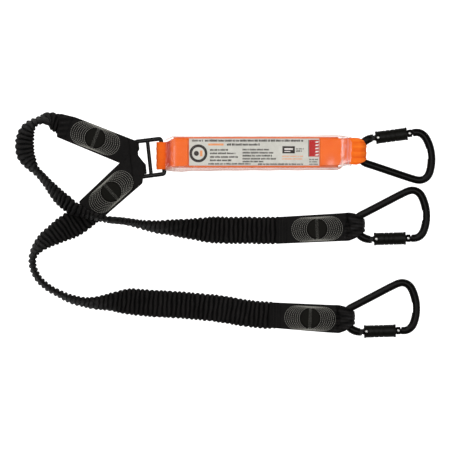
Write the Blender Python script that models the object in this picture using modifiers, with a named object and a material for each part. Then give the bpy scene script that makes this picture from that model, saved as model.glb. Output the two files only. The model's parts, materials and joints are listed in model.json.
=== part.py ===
"""Shock absorbing twin-leg lanyard, laid flat. Metres, +Z up, +X towards the karabiners.

Plan positions are written on a drafting grid (GRID metres per unit, y downwards) and
turned into the row frame by P(). Heights are in millimetres above the resting surface.
"""
import bpy
import bmesh
import math
import numpy as np
from mathutils import Matrix, Vector

# ---------------------------------------------------------------- driving dimensions
GRID = 1.45e-3          # metres per drafting unit
GX0, GY0 = 225.39, 224.61  # drafting point that becomes X = 0, Y = 0
MM = 1e-3
ZC = 12.5               # height of the straps' and karabiners' mid-plane, mm
DROP = 0.4              # every node is lowered by this, so the lowest face is at Z = 0

STRAP_W = 38.4          # ruched elastic leg, face-on width, mm
STRAP_T = 10.0          # ruched elastic leg, thickness, mm
SLEEVE_WALL = 1.6       # tubular webbing wall, mm
CORE_R = 1.8            # elastic cord inside the tubular webbing, mm
TAB_T = 2.5             # leg webbing ply, mm
LOOP_T = 2.6            # absorber webbing ply, mm

BAR_R = 5.05            # karabiner bar radius, mm
GATE_R = 5.3            # gate barrel radius, mm
GATE_HEAD_R = 5.9       # gate head radius, mm
GATE_LEN = 49.3         # hinge axis to gate tip, mm
NOSE_U = 50.0           # hinge axis to nose face, mm
HINGE_PIN_R = 1.5
LATCH_U = 46.2          # hinge axis to latch pin, mm
LATCH_PIN_R = 1.2
SLEEVE_R_OUT, SLEEVE_R_IN = 7.9, 7.0
SLEEVE_U0, SLEEVE_U1 = -3.2, 42.6
LINK_BAR_R = 2.8        # connector bracket bar radius, mm

# ---------------------------------------------------------------- clean start
for ob in list(bpy.data.objects):
    bpy.data.objects.remove(ob, do_unlink=True)
scene = bpy.context.scene
COL = bpy.data.collections.new("shock_absorbing_lanyard")
CUT = bpy.data.collections.new("cutters")
scene.collection.children.link(COL)
scene.collection.children.link(CUT)

MATS = {}


def material(name, color, rough=0.6, metal=0.0, alpha=1.0):
    m = bpy.data.materials.new(name)
    m.use_nodes = True
    b = m.node_tree.nodes["Principled BSDF"]
    b.inputs["Base Color"].default_value = (*color, 1.0)
    b.inputs["Roughness"].default_value = rough
    b.inputs["Metallic"].default_value = metal
    b.inputs["Alpha"].default_value = alpha
    m.diffuse_color = (*color, alpha)
    MATS[name] = m
    return m


LOOK = {
    "black_anodised": ((0.02, 0.02, 0.022), 0.35, 0.9, 1.0),
    "sleeve_black": ((0.025, 0.025, 0.027), 0.45, 0.6, 1.0),
    "bright_steel": ((0.62, 0.62, 0.62), 0.25, 1.0, 1.0),
    "black_steel": ((0.02, 0.02, 0.02), 0.4, 0.8, 1.0),
    "black_webbing": ((0.018, 0.017, 0.017), 0.9, 0.0, 1.0),
    "black_elastic": ((0.02, 0.019, 0.019), 0.85, 0.0, 1.0),
    "elastic_core": ((0.55, 0.5, 0.42), 0.8, 0.0, 1.0),
    "pale_thread": ((0.4, 0.4, 0.36), 0.8, 0.0, 1.0),
    "orange_webbing": ((0.85, 0.16, 0.03), 0.85, 0.0, 1.0),
    "clear_cover": ((0.95, 0.75, 0.7), 0.08, 0.0, 0.35),
    "label_film": ((0.62, 0.62, 0.57), 0.5, 0.0, 1.0),
}


def P(x, y, z=0.0):
    """Drafting grid point (y down) at height z mm, in the row frame."""
    return Vector(((x - GX0) * GRID, (GY0 - y) * GRID, z * MM))


def activate(ob):
    bpy.ops.object.select_all(action="DESELECT")
    ob.select_set(True)
    bpy.context.view_layer.objects.active = ob


def finish(ob, name, look, smooth=True, origin=None):
    """Name, material, collection and origin of a finished node."""
    ob.name = name
    ob.data.name = name
    for c in list(ob.users_collection):
        c.objects.unlink(ob)
    COL.objects.link(ob)
    drop = Matrix.Translation((0, 0, -DROP * MM))
    ob.data.transform(drop @ ob.matrix_world)
    ob.matrix_world = Matrix.Identity(4)
    if origin is not None:
        origin = drop @ Vector(origin)
        ob.data.transform(Matrix.Translation(-origin))
        ob.location = origin
    bm = bmesh.new()
    bm.from_mesh(ob.data)
    bmesh.ops.recalc_face_normals(bm, faces=bm.faces[:])
    bm.to_mesh(ob.data)
    bm.free()
    ob.data.materials.clear()
    color, rough, metal, alpha = LOOK[look]
    ob.data.materials.append(material(name + "_mat", color, rough, metal, alpha))
    if smooth:
        for p in ob.data.polygons:
            p.use_smooth = True
        ob.data.set_sharp_from_angle(angle=math.radians(38))
    return ob


def to_mesh(ob, weld=2e-6):
    """Evaluated copy of an object as plain welded mesh; the source is removed."""
    bpy.context.view_layer.update()
    dg = bpy.context.evaluated_depsgraph_get()
    me = bpy.data.meshes.new_from_object(ob.evaluated_get(dg))
    mw = ob.matrix_world.copy()
    bpy.data.objects.remove(ob, do_unlink=True)
    bm = bmesh.new()
    bm.from_mesh(me)
    bmesh.ops.remove_doubles(bm, verts=bm.verts[:], dist=weld)
    bmesh.ops.recalc_face_normals(bm, faces=bm.faces[:])
    bm.to_mesh(me)
    bm.free()
    new = bpy.data.objects.new("tmp", me)
    new.matrix_world = mw
    CUT.objects.link(new)
    return new


def boolean(ob, tool, op="DIFFERENCE"):
    """Exact Boolean, applied; the tool is consumed."""
    tool.hide_render = True
    tool.display_type = "WIRE"
    m = ob.modifiers.new("bool", "BOOLEAN")
    m.operation = op
    m.solver = "EXACT"
    m.object = tool
    out = to_mesh(ob)
    bpy.data.objects.remove(tool, do_unlink=True)
    return out


def place(ob, mat):
    ob.matrix_world = mat @ ob.matrix_world
    ob.data.transform(ob.matrix_world)
    ob.matrix_world = Matrix.Identity(4)
    return ob


def poly_curve(points, cyclic=False, dims="3D", tilts=None, radii=None):
    cu = bpy.data.curves.new("c", "CURVE")
    cu.dimensions = dims
    sp = cu.splines.new("POLY")
    sp.points.add(len(points) - 1)
    for i, p in enumerate(points):
        q = tuple(p) + (0.0,) * (3 - len(tuple(p)))
        sp.points[i].co = (*q, 1.0)
        if tilts is not None:
            sp.points[i].tilt = tilts[i]
        if radii is not None:
            sp.points[i].radius = radii[i]
    sp.use_cyclic_u = cyclic
    ob = bpy.data.objects.new("c", cu)
    CUT.objects.link(ob)
    return ob


def tube(points, r, res=2, cyclic=False, radii=None):
    """Round bar along a polyline (metres), radius r metres."""
    ob = poly_curve(points, cyclic, radii=radii)
    ob.data.bevel_depth = r
    ob.data.bevel_resolution = res
    ob.data.use_fill_caps = not cyclic
    ob.data.twist_mode = "MINIMUM"
    return to_mesh(ob)


def ribbon(points, tilts, w, t, chamfer, radii=None, ridge=False):
    """Flat strap along a polyline: section w across by t thick, turned by tilts (rad)."""
    a, b, c = w / 2, t / 2, chamfer
    sec = [(-a, -b + c), (-a + c, -b), (a - c, -b), (a, -b + c),
           (a, b - c), (a - c, b), (-a + c, b), (-a, b - c)]
    if ridge:
        sec = sec[:2] + [(0, -b)] + sec[2:6] + [(0, b)] + sec[6:]
    prof = poly_curve([(-x, y) for x, y in sec], True, "2D")
    prof.hide_render = True
    prof.display_type = "WIRE"
    ob = poly_curve(points, False, tilts=tilts, radii=radii)
    ob.data.bevel_mode = "OBJECT"
    ob.data.bevel_object = prof
    ob.data.use_fill_caps = True
    ob.data.twist_mode = "Z_UP"
    out = to_mesh(ob)
    bpy.data.objects.remove(prof, do_unlink=True)
    return out


def prism(outline, half, mat=None):
    """Flat outline in XY (metres), thickened to +-half along Z, then placed."""
    ob = poly_curve([(p[0], p[1]) for p in outline], True, "2D")
    ob.data.fill_mode = "BOTH"
    ob.data.extrude = half
    out = to_mesh(ob)
    return place(out, mat) if mat is not None else out


def cyl(r, u0, u1, seg=24, mat=None, r2=None):
    """Cylinder on the X axis from u0 to u1 (metres)."""
    bm = bmesh.new()
    bmesh.ops.create_cone(bm, cap_ends=True, segments=seg, radius1=r,
                          radius2=r if r2 is None else r2, depth=u1 - u0)
    me = bpy.data.meshes.new("cyl")
    bm.to_mesh(me)
    bm.free()
    ob = bpy.data.objects.new("cyl", me)
    CUT.objects.link(ob)
    place(ob, Matrix.Translation(((u0 + u1) / 2, 0, 0)) @ Matrix.Rotation(math.pi / 2, 4, "Y"))
    return place(ob, mat) if mat is not None else ob


def box(lo, hi, mat=None):
    bm = bmesh.new()
    bmesh.ops.create_cube(bm, size=1.0)
    me = bpy.data.meshes.new("box")
    bm.to_mesh(me)
    bm.free()
    ob = bpy.data.objects.new("box", me)
    CUT.objects.link(ob)
    lo, hi = Vector(lo), Vector(hi)
    s = hi - lo
    place(ob, Matrix.Translation((lo + hi) / 2) @ Matrix.Diagonal((*s, 1.0)))
    return place(ob, mat) if mat is not None else ob


def smooth_path(pts, n, turn=0.0):
    """n points spread along a Catmull-Rom curve through pts (any dimension). Spacing is
    even in length plus turn metres for each radian of the fourth value."""
    p = np.array(pts, float)
    q = np.vstack([2 * p[0] - p[1], p, 2 * p[-1] - p[-2]])
    out = []
    for i in range(1, len(q) - 2):
        for t in np.linspace(0, 1, 24, endpoint=False):
            a, b, c, d = q[i - 1], q[i], q[i + 1], q[i + 2]
            out.append(0.5 * ((2 * b) + (-a + c) * t + (2 * a - 5 * b + 4 * c - d) * t * t
                              + (-a + 3 * b - 3 * c + d) * t ** 3))
    out.append(p[-1])
    out = np.array(out)
    k = min(3, p.shape[1])
    step = np.linalg.norm(np.diff(out[:, :k], axis=0), axis=1)
    if turn:
        step = step + turn * np.abs(np.diff(out[:, 3]))
    s = np.concatenate([[0], np.cumsum(step)])
    want = np.linspace(0, s[-1], n)
    return np.stack([np.interp(want, s, out[:, j]) for j in range(p.shape[1])], axis=1)


def strap_outline(center, t):
    """Closed outline of constant thickness t round an open centre line (2D, metres)."""
    c = np.array(center, float)
    d = np.gradient(c, axis=0)
    for i in range(1, len(c) - 1):
        a = c[i] - c[i - 1]
        b = c[i + 1] - c[i]
        d[i] = a / np.linalg.norm(a) + b / np.linalg.norm(b)
    d[0] = c[1] - c[0]
    d[-1] = c[-1] - c[-2]
    d /= np.linalg.norm(d, axis=1)[:, None]
    nrm = np.stack([-d[:, 1], d[:, 0]], axis=1)
    left = c + nrm * t / 2
    right = c - nrm * t / 2
    return [tuple(v) for v in left] + [tuple(v) for v in right[::-1]]


def eye_profile(length, h_flat, h_eye, reach, t, s_flat=-22.0, s_eye=-7.0):
    """Folded strap seen edge-on, mm -> metres. s = 0 is the bar axis, +s the closed end.
    h_* are half heights of the inner face; reach is the inner face of the fold."""
    H = h_eye + t / 2
    hf = h_flat + t / 2
    c0 = reach - h_eye
    up = [(-length, hf), (s_flat, hf), ((s_flat + s_eye) / 2, (hf + H) / 2 + 0.1), (s_eye, H)]
    arc = [(c0 + H * math.cos(a), H * math.sin(a)) for a in np.linspace(math.pi / 2, -math.pi / 2, 13)]
    low = [(s, -z) for s, z in reversed(up)]
    pts = [(s * MM, z * MM) for s, z in up + arc + low]
    return strap_outline(pts, t * MM)


def stand(bar_point, along):
    """Matrix that stands an edge-on profile (X = s, Y = height) on the strap's mid-plane.
    along is the unit plan direction of +s; the profile is thickened along the bar."""
    x = Vector((along[0], along[1], 0.0)).normalized()
    z = Vector((0, 0, 1))
    y = x.cross(z)
    m = Matrix((
        (x.x, z.x, y.x, bar_point.x),
        (x.y, z.y, y.y, bar_point.y),
        (x.z, z.z, y.z, bar_point.z),
        (0, 0, 0, 1)))
    return m


def plan_prism(points, z0, z1):
    out = [P(x, y) for x, y in points]
    return prism([(v.x, v.y) for v in out], (z1 - z0) / 2 * MM,
                 Matrix.Translation((0, 0, (z0 + z1) / 2 * MM)))


def folded_tab(name, profile, bar_point, along, plan, look):
    ob = prism(profile, 0.075, stand(bar_point, along))
    ob = boolean(ob, plan_prism(plan, -5, 32), "INTERSECT")
    return finish(ob, name, look)


def unit(a, b):
    v = P(*b) - P(*a)
    v.z = 0
    return v.normalized()


# ---------------------------------------------------------------- karabiner
BAR_PATH = [(-6.5, 0), (-9.5, 0.35), (-13.6, 2.2), (-17.2, 4.9), (-20.3, 9.0), (-21.9, 13.4),
            (-21.8, 17.8), (-20.0, 21.8), (-16.3, 24.7), (-8, 28.7), (2, 33.6), (12, 38.5),
            (22, 43.4), (28, 46.2), (32.5, 48.0), (36.6, 48.6), (40.6, 47.4), (44.0, 44.3),
            (46.6, 39.9), (48.4, 34.5), (49.7, 28.5), (50.1, 22.5), (49.6, 16.4), (48.1, 10.5),
            (45.6, 5.6), (42.4, 2.1), (38.9, 0.35), (34.6, 0.0)]


def helix(r, u0, u1, turns, per_turn, axis_y=0.0):
    n = int(turns * per_turn)
    pts = []
    for i in range(n + 1):
        a = 2 * math.pi * turns * i / n
        u = u0 + (u1 - u0) * i / n
        pts.append((u * MM, r * math.cos(a) * MM, r * math.sin(a) * MM))
    return pts


def karabiner(prefix, hinge, nose_dir, flip):
    """Self-locking karabiner. Local frame: X along the gate from the hinge pin to the
    nose, Y towards the spine, Z through the bar plane. flip turns it over about X."""
    ang = math.atan2(nose_dir.y, nose_dir.x)
    h = P(*hinge, ZC)
    M = Matrix.Translation(h) @ Matrix.Rotation(ang, 4, "Z")
    if flip:
        M = M @ Matrix.Rotation(math.pi, 4, "X")

    def done(ob, name, look, origin=True, smooth=True):
        place(ob, M)
        return finish(ob, prefix + name, look, smooth, h if origin else None)

    # bar, hinge tongue and nose hook
    path = smooth_path([(u * GRID, v * GRID, 0.0) for u, v in BAR_PATH], 44)
    path[-1] = (NOSE_U * MM, 0, 0)
    body = tube([tuple(p) for p in path], BAR_R * MM, res=2)
    tongue = prism([(u * MM, v * MM) for u, v in
                    [(-12.0, 3.8), (0, 3.8), (2.4, 3.1), (3.6, 2.2), (3.6, -2.2), (2.4, -3.1),
                     (0, -3.8), (-12.0, -3.8)]], 2.0 * MM)
    body = boolean(body, tongue, "UNION")
    hook = prism([(u * MM, v * MM) for u, v in
                  [(54, 3.0), (47.8, 3.0), (47.8, -1.5), (44.7, -1.5), (44.7, 0.9), (43.5, 0.9),
                   (43.5, -4.0), (54, -4.0)]], 1.6 * MM)
    body = boolean(body, hook, "UNION")
    pin_hole = cyl((HINGE_PIN_R + 0.12) * MM, -9 * MM, 9 * MM, 16, Matrix.Rotation(math.pi / 2, 4, "Y"))
    body = boolean(body, pin_hole)
    # flat bearing land on the inside of the wide end
    land = box((46.6 * GRID - 6 * MM, 17.5 * GRID, -3.2 * MM), (46.6 * GRID + 0.75 * MM, 27.5 * GRID, 3.2 * MM))
    body = boolean(body, land)
    done(body, "body", "black_anodised", origin=False)

    # gate barrel with hinge fork, latch fork, spring bore and spring seat
    gate = cyl(GATE_R * MM, -5.2 * MM, 43.6 * MM, 18)
    gate = boolean(gate, cyl(GATE_HEAD_R * MM, 43.4 * MM, GATE_LEN * MM, 18), "UNION")
    gate = boolean(gate, cyl(6.4 * MM, 7.2 * MM, 9.0 * MM, 18), "UNION")
    arc = [(4.9 * math.cos(a) * MM, 4.9 * math.sin(a) * MM) for a in np.linspace(math.pi / 2, 1.5 * math.pi, 9)]
    keep = prism(arc + [(0, -8 * MM), (60 * MM, -8 * MM), (60 * MM, 8 * MM), (0, 8 * MM)], 9 * MM)
    gate = boolean(gate, keep, "INTERSECT")
    gate = boolean(gate, box((-8 * MM, -8 * MM, -2.3 * MM), (5.2 * MM, 8 * MM, 2.3 * MM)))
    gate = boolean(gate, box((42.6 * MM, -8 * MM, -2.1 * MM), (55 * MM, 8 * MM, 2.1 * MM)))
    gate = boolean(gate, cyl(1.9 * MM, 4.0 * MM, 22.0 * MM, 12))
    gate = boolean(gate, cyl((HINGE_PIN_R + 0.12) * MM, -9 * MM, 9 * MM, 16, Matrix.Rotation(math.pi / 2, 4, "Y")))
    gate = boolean(gate, cyl((LATCH_PIN_R + 0.12) * MM, -9 * MM, 9 * MM, 12,
                             Matrix.Translation((LATCH_U * MM, 0, 0)) @ Matrix.Rotation(math.pi / 2, 4, "Y")))
    done(gate, "gate", "black_anodised")

    # rivets
    R = Matrix.Rotation(math.pi / 2, 4, "Y")
    pin = cyl(HINGE_PIN_R * MM, -5.9 * MM, 5.9 * MM, 16, R)
    for s in (-1, 1):
        pin = boolean(pin, cyl(2.2 * MM, min(s * 5.45, s * 6.1) * MM, max(s * 5.45, s * 6.1) * MM, 16, R), "UNION")
    done(pin, "hinge_pin", "bright_steel")
    T = Matrix.Translation((LATCH_U * MM, 0, 0))
    pin = cyl(LATCH_PIN_R * MM, -6.3 * MM, 6.3 * MM, 12, T @ R)
    for s in (-1, 1):
        pin = boolean(pin, cyl(1.8 * MM, min(s * 6.05, s * 6.6) * MM, max(s * 6.05, s * 6.6) * MM, 12, T @ R), "UNION")
    done(pin, "latch_pin", "bright_steel")

    # locking sleeve: turned shell with an inner lip at the nose end and a grip groove
    u0, u1, ro, ri = SLEEVE_U0, SLEEVE_U1, SLEEVE_R_OUT, SLEEVE_R_IN
    prof = [(u0, ri), (u0, ro - 0.4), (u0 + 0.5, ro), (17.2, ro), (17.5, ro - 0.55), (18.5, ro - 0.55),
            (18.8, ro), (u1 - 0.5, ro), (u1, ro - 0.4), (u1, 6.15), (36.9, 6.15), (36.9, ri)]
    cu = poly_curve([(r * MM, u * MM, 0) for u, r in prof], True, "3D")
    sleeve = to_mesh(cu)
    mod = sleeve.modifiers.new("turn", "SCREW")
    mod.axis = "Y"
    mod.angle = 2 * math.pi
    mod.steps = mod.render_steps = 22
    mod.use_merge_vertices = True
    mod.merge_threshold = 1e-5
    mod.use_normal_calculate = True
    sleeve = to_mesh(sleeve)
    place(sleeve, Matrix.Rotation(-math.pi / 2, 4, "Z"))
    # hinge-end windows that leave the hinge rivet visible
    sleeve = boolean(sleeve, box((-6 * MM, -2.9 * MM, -9 * MM), (2.9 * MM, 2.9 * MM, 9 * MM)))
    done(sleeve, "lock_sleeve", "sleeve_black")

    collar = boolean(cyl(6.7 * MM, 33.5 * MM, 36.5 * MM, 18), cyl(5.6 * MM, 30 * MM, 40 * MM, 18))
    done(collar, "sleeve_collar", "bright_steel")
    spring = tube(helix(6.1, 9.9, 32.7, 4, 11), 0.4 * MM, res=0)
    done(spring, "sleeve_spring", "bright_steel")
    plunger = cyl(1.6 * MM, 3.85 * MM, 11.0 * MM, 12)
    done(plunger, "gate_plunger", "bright_steel")
    spring = tube(helix(1.3, 11.7, 21.3, 4, 8), 0.3 * MM, res=0)
    done(spring, "gate_spring", "bright_steel")
    return M


KARABINERS = {
    "harness_": ((378.2, 137.5), (410.1, 133.3), True),
    "leg_a_": ((376.5, 239.0), (408.4, 238.2), False),
    "leg_b_": ((366.5, 331.5), (398.5, 330.6), False),
}
for prefix, (a, b, flip) in KARABINERS.items():
    karabiner(prefix + "karabiner_", a, unit(a, b), flip)

# ---------------------------------------------------------------- connector bracket
LINK = {"UL": (134.8, 141.8), "UR": (160.8, 138.6), "LR": (164.6, 173.8), "LL": (138.6, 177.2)}


def rounded_loop(corners, r, n=5):
    pts = []
    m = len(corners)
    for i in range(m):
        p0, p1, p2 = (np.array(corners[j % m], float) for j in (i - 1, i, i + 1))
        a = (p0 - p1) / np.linalg.norm(p0 - p1)
        b = (p2 - p1) / np.linalg.norm(p2 - p1)
        s, e = p1 + a * r, p1 + b * r
        for t in np.linspace(0, 1, n):
            pts.append(tuple((1 - t) ** 2 * s + 2 * t * (1 - t) * p1 + t * t * e))
    return pts


loop = rounded_loop([LINK["UL"], LINK["UR"], LINK["LR"], LINK["LL"]], 2.6)
bracket = tube([P(x, y, ZC) for x, y in loop], LINK_BAR_R * MM, res=2, cyclic=True)
mid = tube([P(147.4, 140.4, ZC), P(151.2, 175.3, ZC)], 2.3 * MM, res=2)
bracket = boolean(bracket, mid, "UNION")
finish(bracket, "connector_bracket", "black_steel")

# ---------------------------------------------------------------- energy absorber
PACK_Y = 152.0
STACK_Z = 7.0
half_w = 13.9           # drafting units
# accordion fold of the tear webbing, seen edge-on
n_lay, lay_t = 5, 2.6
pitch = (2 * STACK_Z - lay_t) / (n_lay - 1)
xs0, xs1 = P(176.0, 0).x, P(335.0, 0).x
line = []
for i in range(n_lay):
    z = (-STACK_Z + lay_t / 2 + i * pitch) * MM
    a, b = (xs0, xs1) if i % 2 == 0 else (xs1, xs0)
    line.append((a, z))
    line.append((b, z))
    if i < n_lay - 1:
        sgn = 1 if b == xs1 else -1
        for k in (1, 2, 3):
            t = math.pi * k / 4
            line.append((b + sgn * pitch / 2 * MM * math.sin(t), z + pitch / 2 * MM * (1 - math.cos(t))))
stack = prism(strap_outline(line, lay_t * MM), half_w * GRID,
              stand(P(GX0, PACK_Y, ZC), (1, 0)))
finish(stack, "tear_webbing", "orange_webbing", smooth=False)

# loop round the harness karabiner
apex_h = P(358.5, 156.2, ZC)
prof = eye_profile(56.5, 7.35, 9.45, 11.8, LOOP_T, -13.5, -4.5)
folded_tab("harness_loop", prof, P(358.5, 152.0, ZC), (1, 0),
           [(319.8, 138.1), (349.0, 138.1), (355.4, 147.6), (372, 147.6), (372, 159.8),
            (355.4, 161.2), (349.0, 165.9), (319.8, 165.9)], "orange_webbing")
# loop round the connector bracket
prof = eye_profile(37.5, 7.35, 3.7, 6.6, LOOP_T, -13.0, -5.0)
folded_tab("bracket_loop", prof, P(162.6, 155.5, ZC), (-1, 0),
           [(150, 142.0), (167, 142.0), (173, 138.4), (188.4, 138.1), (188.4, 165.9),
            (173, 167.6), (167, 169.2), (150, 169.2)], "orange_webbing")

label = plan_prism([(189.0, 138.5), (319.3, 138.5), (319.3, 165.6), (189.0, 165.6)],
                   ZC + STACK_Z + 0.3, ZC + STACK_Z + 0.8)
finish(label, "label", "label_film", smooth=False)


def bevelled(ob, width, segs=2):
    m = ob.modifiers.new("bevel", "BEVEL")
    m.width = width
    m.segments = segs
    m.limit_method = "ANGLE"
    m.angle_limit = math.radians(40)
    return to_mesh(ob)


outer = plan_prism([(167.4, 139.0), (172.6, 136.4), (338, 135.6), (344, 136.5), (350, 136.6), (350, 167.5),
                    (344, 167.7), (338, 170.2), (173.4, 171.4), (167.4, 171.2)], ZC - 12.1, ZC + 12.1)
outer = bevelled(outer, 2.6 * MM)
inner = plan_prism([(160, 139.7), (167, 139.6), (172.8, 136.9), (337.8, 136.1), (344, 137.0), (360, 137.1),
                    (360, 167.0), (344, 167.2), (337.8, 169.7), (173.6, 170.8), (167.4, 170.7), (160, 170.6)],
                   ZC - 11.55, ZC + 11.55)
inner = bevelled(inner, 2.2 * MM)
cover = boolean(outer, inner)
finish(cover, "clear_cover", "clear_cover")

# ---------------------------------------------------------------- legs
# rows: drafting x, y, height mm, turn about the strap's own axis in degrees, section scale
STRAP_A = [(57.2, 124.9, 12.5, 0, 0.86), (53.6, 124.0, 13.6, 22, 0.88), (49.2, 122.2, 16.6, 52, 0.94),
          (44.6, 120.2, 19.4, 74, 1), (38.4, 120.6, 20.2, 82, 1), (33.0, 123.6, 20.2, 78, 1),
          (28.6, 128.8, 20.0, 68, 1), (25.6, 136.0, 20.0, 61, 1), (24.8, 144.5, 20.0, 59, 1),
          (25.6, 153.5, 20.0, 60, 1), (28.3, 162.0, 20.4, 68, 1), (33.4, 169.6, 21.5, 80, 1),
          (40.2, 176.6, 23.5, 86, 1), (49.0, 186.3, 28.0, 82, 1), (57.4, 195.5, 32.5, 73, 1),
          (65.5, 202.8, 36.0, 67, 1), (74.5, 208.8, 38.2, 68, 1), (84.5, 213.4, 38.2, 76, 1),
          (95.0, 216.9, 38.0, 83, 1), (103.5, 218.8, 37.8, 87, 1), (109.5, 219.8, 37.4, 89, 1),
          (116.0, 220.4, 33.4, 89, 1), (123.0, 221.1, 27.6, 89, 1), (131.0, 222.4, 22.8, 88, 1),
          (139.0, 224.0, 20.6, 84, 1), (148.0, 225.8, 20.2, 79, 1), (160.0, 227.4, 20.0, 73, 1),
          (174.0, 228.4, 19.8, 66, 1), (188.0, 229.2, 18.9, 56, 1), (201.0, 229.6, 16.8, 42, 1),
          (212.0, 229.8, 13.8, 20, 1), (219.0, 230.0, 12.5, 0, 1), (226.0, 230.2, 12.5, 0, 1),
         (240.0, 230.4, 12.5, 0, 1), (257.0, 230.5, 12.5, 0, 1), (275.0, 230.4, 12.5, 0, 1)]
STRAP_B = [(87.4, 213.5, 12.5, 0, 1), (81.6, 218.0, 12.0, 0, 1), (73.6, 223.4, 11.2, 4, 1),
          (66.0, 228.2, 12.4, 22, 1), (57.0, 233.8, 15.6, 45, 1), (47.6, 240.2, 19.0, 64, 1),
          (39.6, 247.8, 20.1, 78, 1), (34.8, 255.4, 20.2, 87, 1), (33.3, 263.4, 20.2, 90, 1),
          (34.8, 271.8, 20.2, 89, 1), (39.4, 280.2, 20.2, 88, 1), (47.0, 287.4, 20.2, 87, 1),
          (57.4, 293.6, 20.2, 86, 1), (69.8, 299.2, 20.2, 83, 1), (83.2, 302.9, 20.2, 80, 1),
          (95.5, 303.2, 20.2, 73, 1), (106.0, 302.6, 19.4, 64, 1), (115.5, 301.8, 17.6, 52, 1),
          (123.5, 301.4, 14.9, 34, 1), (131.0, 301.7, 12.9, 12, 1), (140.0, 302.4, 12.5, 0, 1),
         (158.0, 304.0, 12.5, 0, 1), (180.0, 306.2, 12.5, 0, 1), (205.0, 308.2, 12.5, 0, 1),
         (225.0, 310.4, 12.5, 0, 1), (245.0, 313.2, 12.5, 0, 1), (256.0, 314.5, 12.5, 0, 1),
         (268.6, 315.2, 12.5, 0, 1)]


CUT_GAP = 0.4           # gap between two nodes of one strap, mm


def unit_of(row):
    """Unit direction of a row's position part, the other columns set to zero."""
    d = np.zeros(len(row))
    d[:3] = row[:3] / np.linalg.norm(row[:3])
    return d


def elastic(prefix, rows, n, cuts, before, after):
    """Hollow ruched sleeve and the elastic cord inside it, as bend, run and end nodes.
    cuts are the drafting x positions, on the straight part, where one node meets the next."""
    rows = smooth_path([(*P(x, y, z), math.radians(a), k) for x, y, z, a, k in rows], n, 0.045)
    half = n // 3       # the cuts lie beyond the turn, on the way back
    at = [half + int(np.argmin(np.abs(rows[half:, 0] - P(x, 0).x))) for x in cuts]
    spans = [(0, at[0]), (at[0], at[1]), (at[1], n - 1)]
    for part, (i0, i1) in zip(("bend", "run", "end"), spans):
        seg = [r for r in rows[i0:i1 + 1]]
        # both nodes at a cut end square to the strap's own direction there
        if i0:
            d = unit_of(rows[i0 + 1] - rows[i0 - 1])
            seg[0:1] = [rows[i0] + d * CUT_GAP / 2 * MM, rows[i0] + d * 2.2 * MM]
        if i1 < n - 1:
            d = unit_of(rows[i1 + 1] - rows[i1 - 1])
            seg[-1:] = [rows[i1] - d * 2.2 * MM, rows[i1] - d * CUT_GAP / 2 * MM]
        pts = [tuple(r[:3]) for r in seg]
        tl = [r[3] for r in seg]
        rad = [r[4] for r in seg]
        sleeve = ribbon(pts, tl, STRAP_W * MM, STRAP_T * MM, 3.0 * MM, rad)
        # hollow, open at both ends
        d0 = (Vector(pts[0]) - Vector(pts[1])).normalized()
        d1 = (Vector(pts[-1]) - Vector(pts[-2])).normalized()
        longer = [tuple(Vector(pts[0]) + d0 * 0.003)] + pts + [tuple(Vector(pts[-1]) + d1 * 0.003)]
        bore = ribbon(longer, [tl[0]] + tl + [tl[-1]], (STRAP_W - 2 * SLEEVE_WALL) * MM,
                      (STRAP_T - 2 * SLEEVE_WALL) * MM, 1.8 * MM, [rad[0]] + rad + [rad[-1]], ridge=True)
        finish(boolean(sleeve, bore), prefix + "sleeve_" + part, "black_elastic")
        # cord, carried on into the tabs at its ends
        cord = ([tuple(P(*p, ZC)) for p in before] if part == "bend" else []) + pts
        cord += [tuple(P(*p, ZC)) for p in after] if part == "end" else []
        finish(tube(cord, CORE_R * MM, res=1), prefix + "core_" + part, "elastic_core")


def stitching(name, centre, direction, a, b, z, turns=2.0, per=18):
    """One thread: an oval spiral that runs in to a bar tack across the strap."""
    pts = []
    n = int(turns * per)
    for i in range(n + 1):
        t = 2 * math.pi * turns * i / n
        k = 1 - 0.3 * i / n
        pts.append((a * k * math.cos(t), b * (1 - 0.36 * i / n) * math.sin(t)))
    kx = 1.1
    end = pts[-1]
    pts.append((end[0] * 0.6, 1.0))
    for j, s in enumerate((-1, 1, -1, 1)):
        pts.append((kx * (1.5 - j), s * 5.4))
    ang = math.atan2(direction.y, direction.x)
    M = Matrix.Translation(P(*centre, z)) @ Matrix.Rotation(ang, 4, "Z")
    ob = tube([M @ Vector((x * MM, y * MM, 0)) for x, y in pts], 0.42 * MM, res=0)
    finish(ob, name, "pale_thread")


bar_dir = unit(LINK["LL"], LINK["UL"])          # along the bracket's left bar, roughly +Y
bar_perp = Vector((bar_dir.y, -bar_dir.x, 0))   # across it, roughly +X
bar_mid = P((LINK["UL"][0] + LINK["LL"][0]) / 2, (LINK["UL"][1] + LINK["LL"][1]) / 2, ZC)
H_FLAT = 2.6
TAB_TOP = ZC + H_FLAT + TAB_T

# upper leg
prof = eye_profile(140, H_FLAT, 3.3, 5.2, TAB_T, -12.0, -5.0)
folded_tab("leg_a_bracket_tab", prof, bar_mid, bar_perp,
           [(61.9, 114.7), (75.7, 117.4), (133.8, 139.9), (136.2, 144.0), (146, 143.4), (147, 152.8),
            (137.6, 153.9), (120.4, 162.8), (57.0, 136.6)], "black_webbing")
prof = eye_profile(140, H_FLAT, 3.3, 10.0, TAB_T, -12.0, -5.0)
folded_tab("leg_b_bracket_tab", prof, bar_mid, bar_perp,
           [(78.5, 201.9), (120.8, 164.0), (137.8, 155.2), (147.0, 166.8), (149.4, 173.2), (138.3, 174.4),
            (138.9, 186.8), (97.8, 223.2)], "black_webbing")
elastic("leg_a_", STRAP_A, 54, (116.0, 257.0), [(84.0, 134.6), (64.0, 127.2)], [(279.0, 230.4), (300.0, 229.8)])
elastic("leg_b_", STRAP_B, 50, (95.5, 251.0), [(107.0, 195.8), (91.0, 210.2)], [(273.0, 315.2), (294.0, 316.6)])

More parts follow.
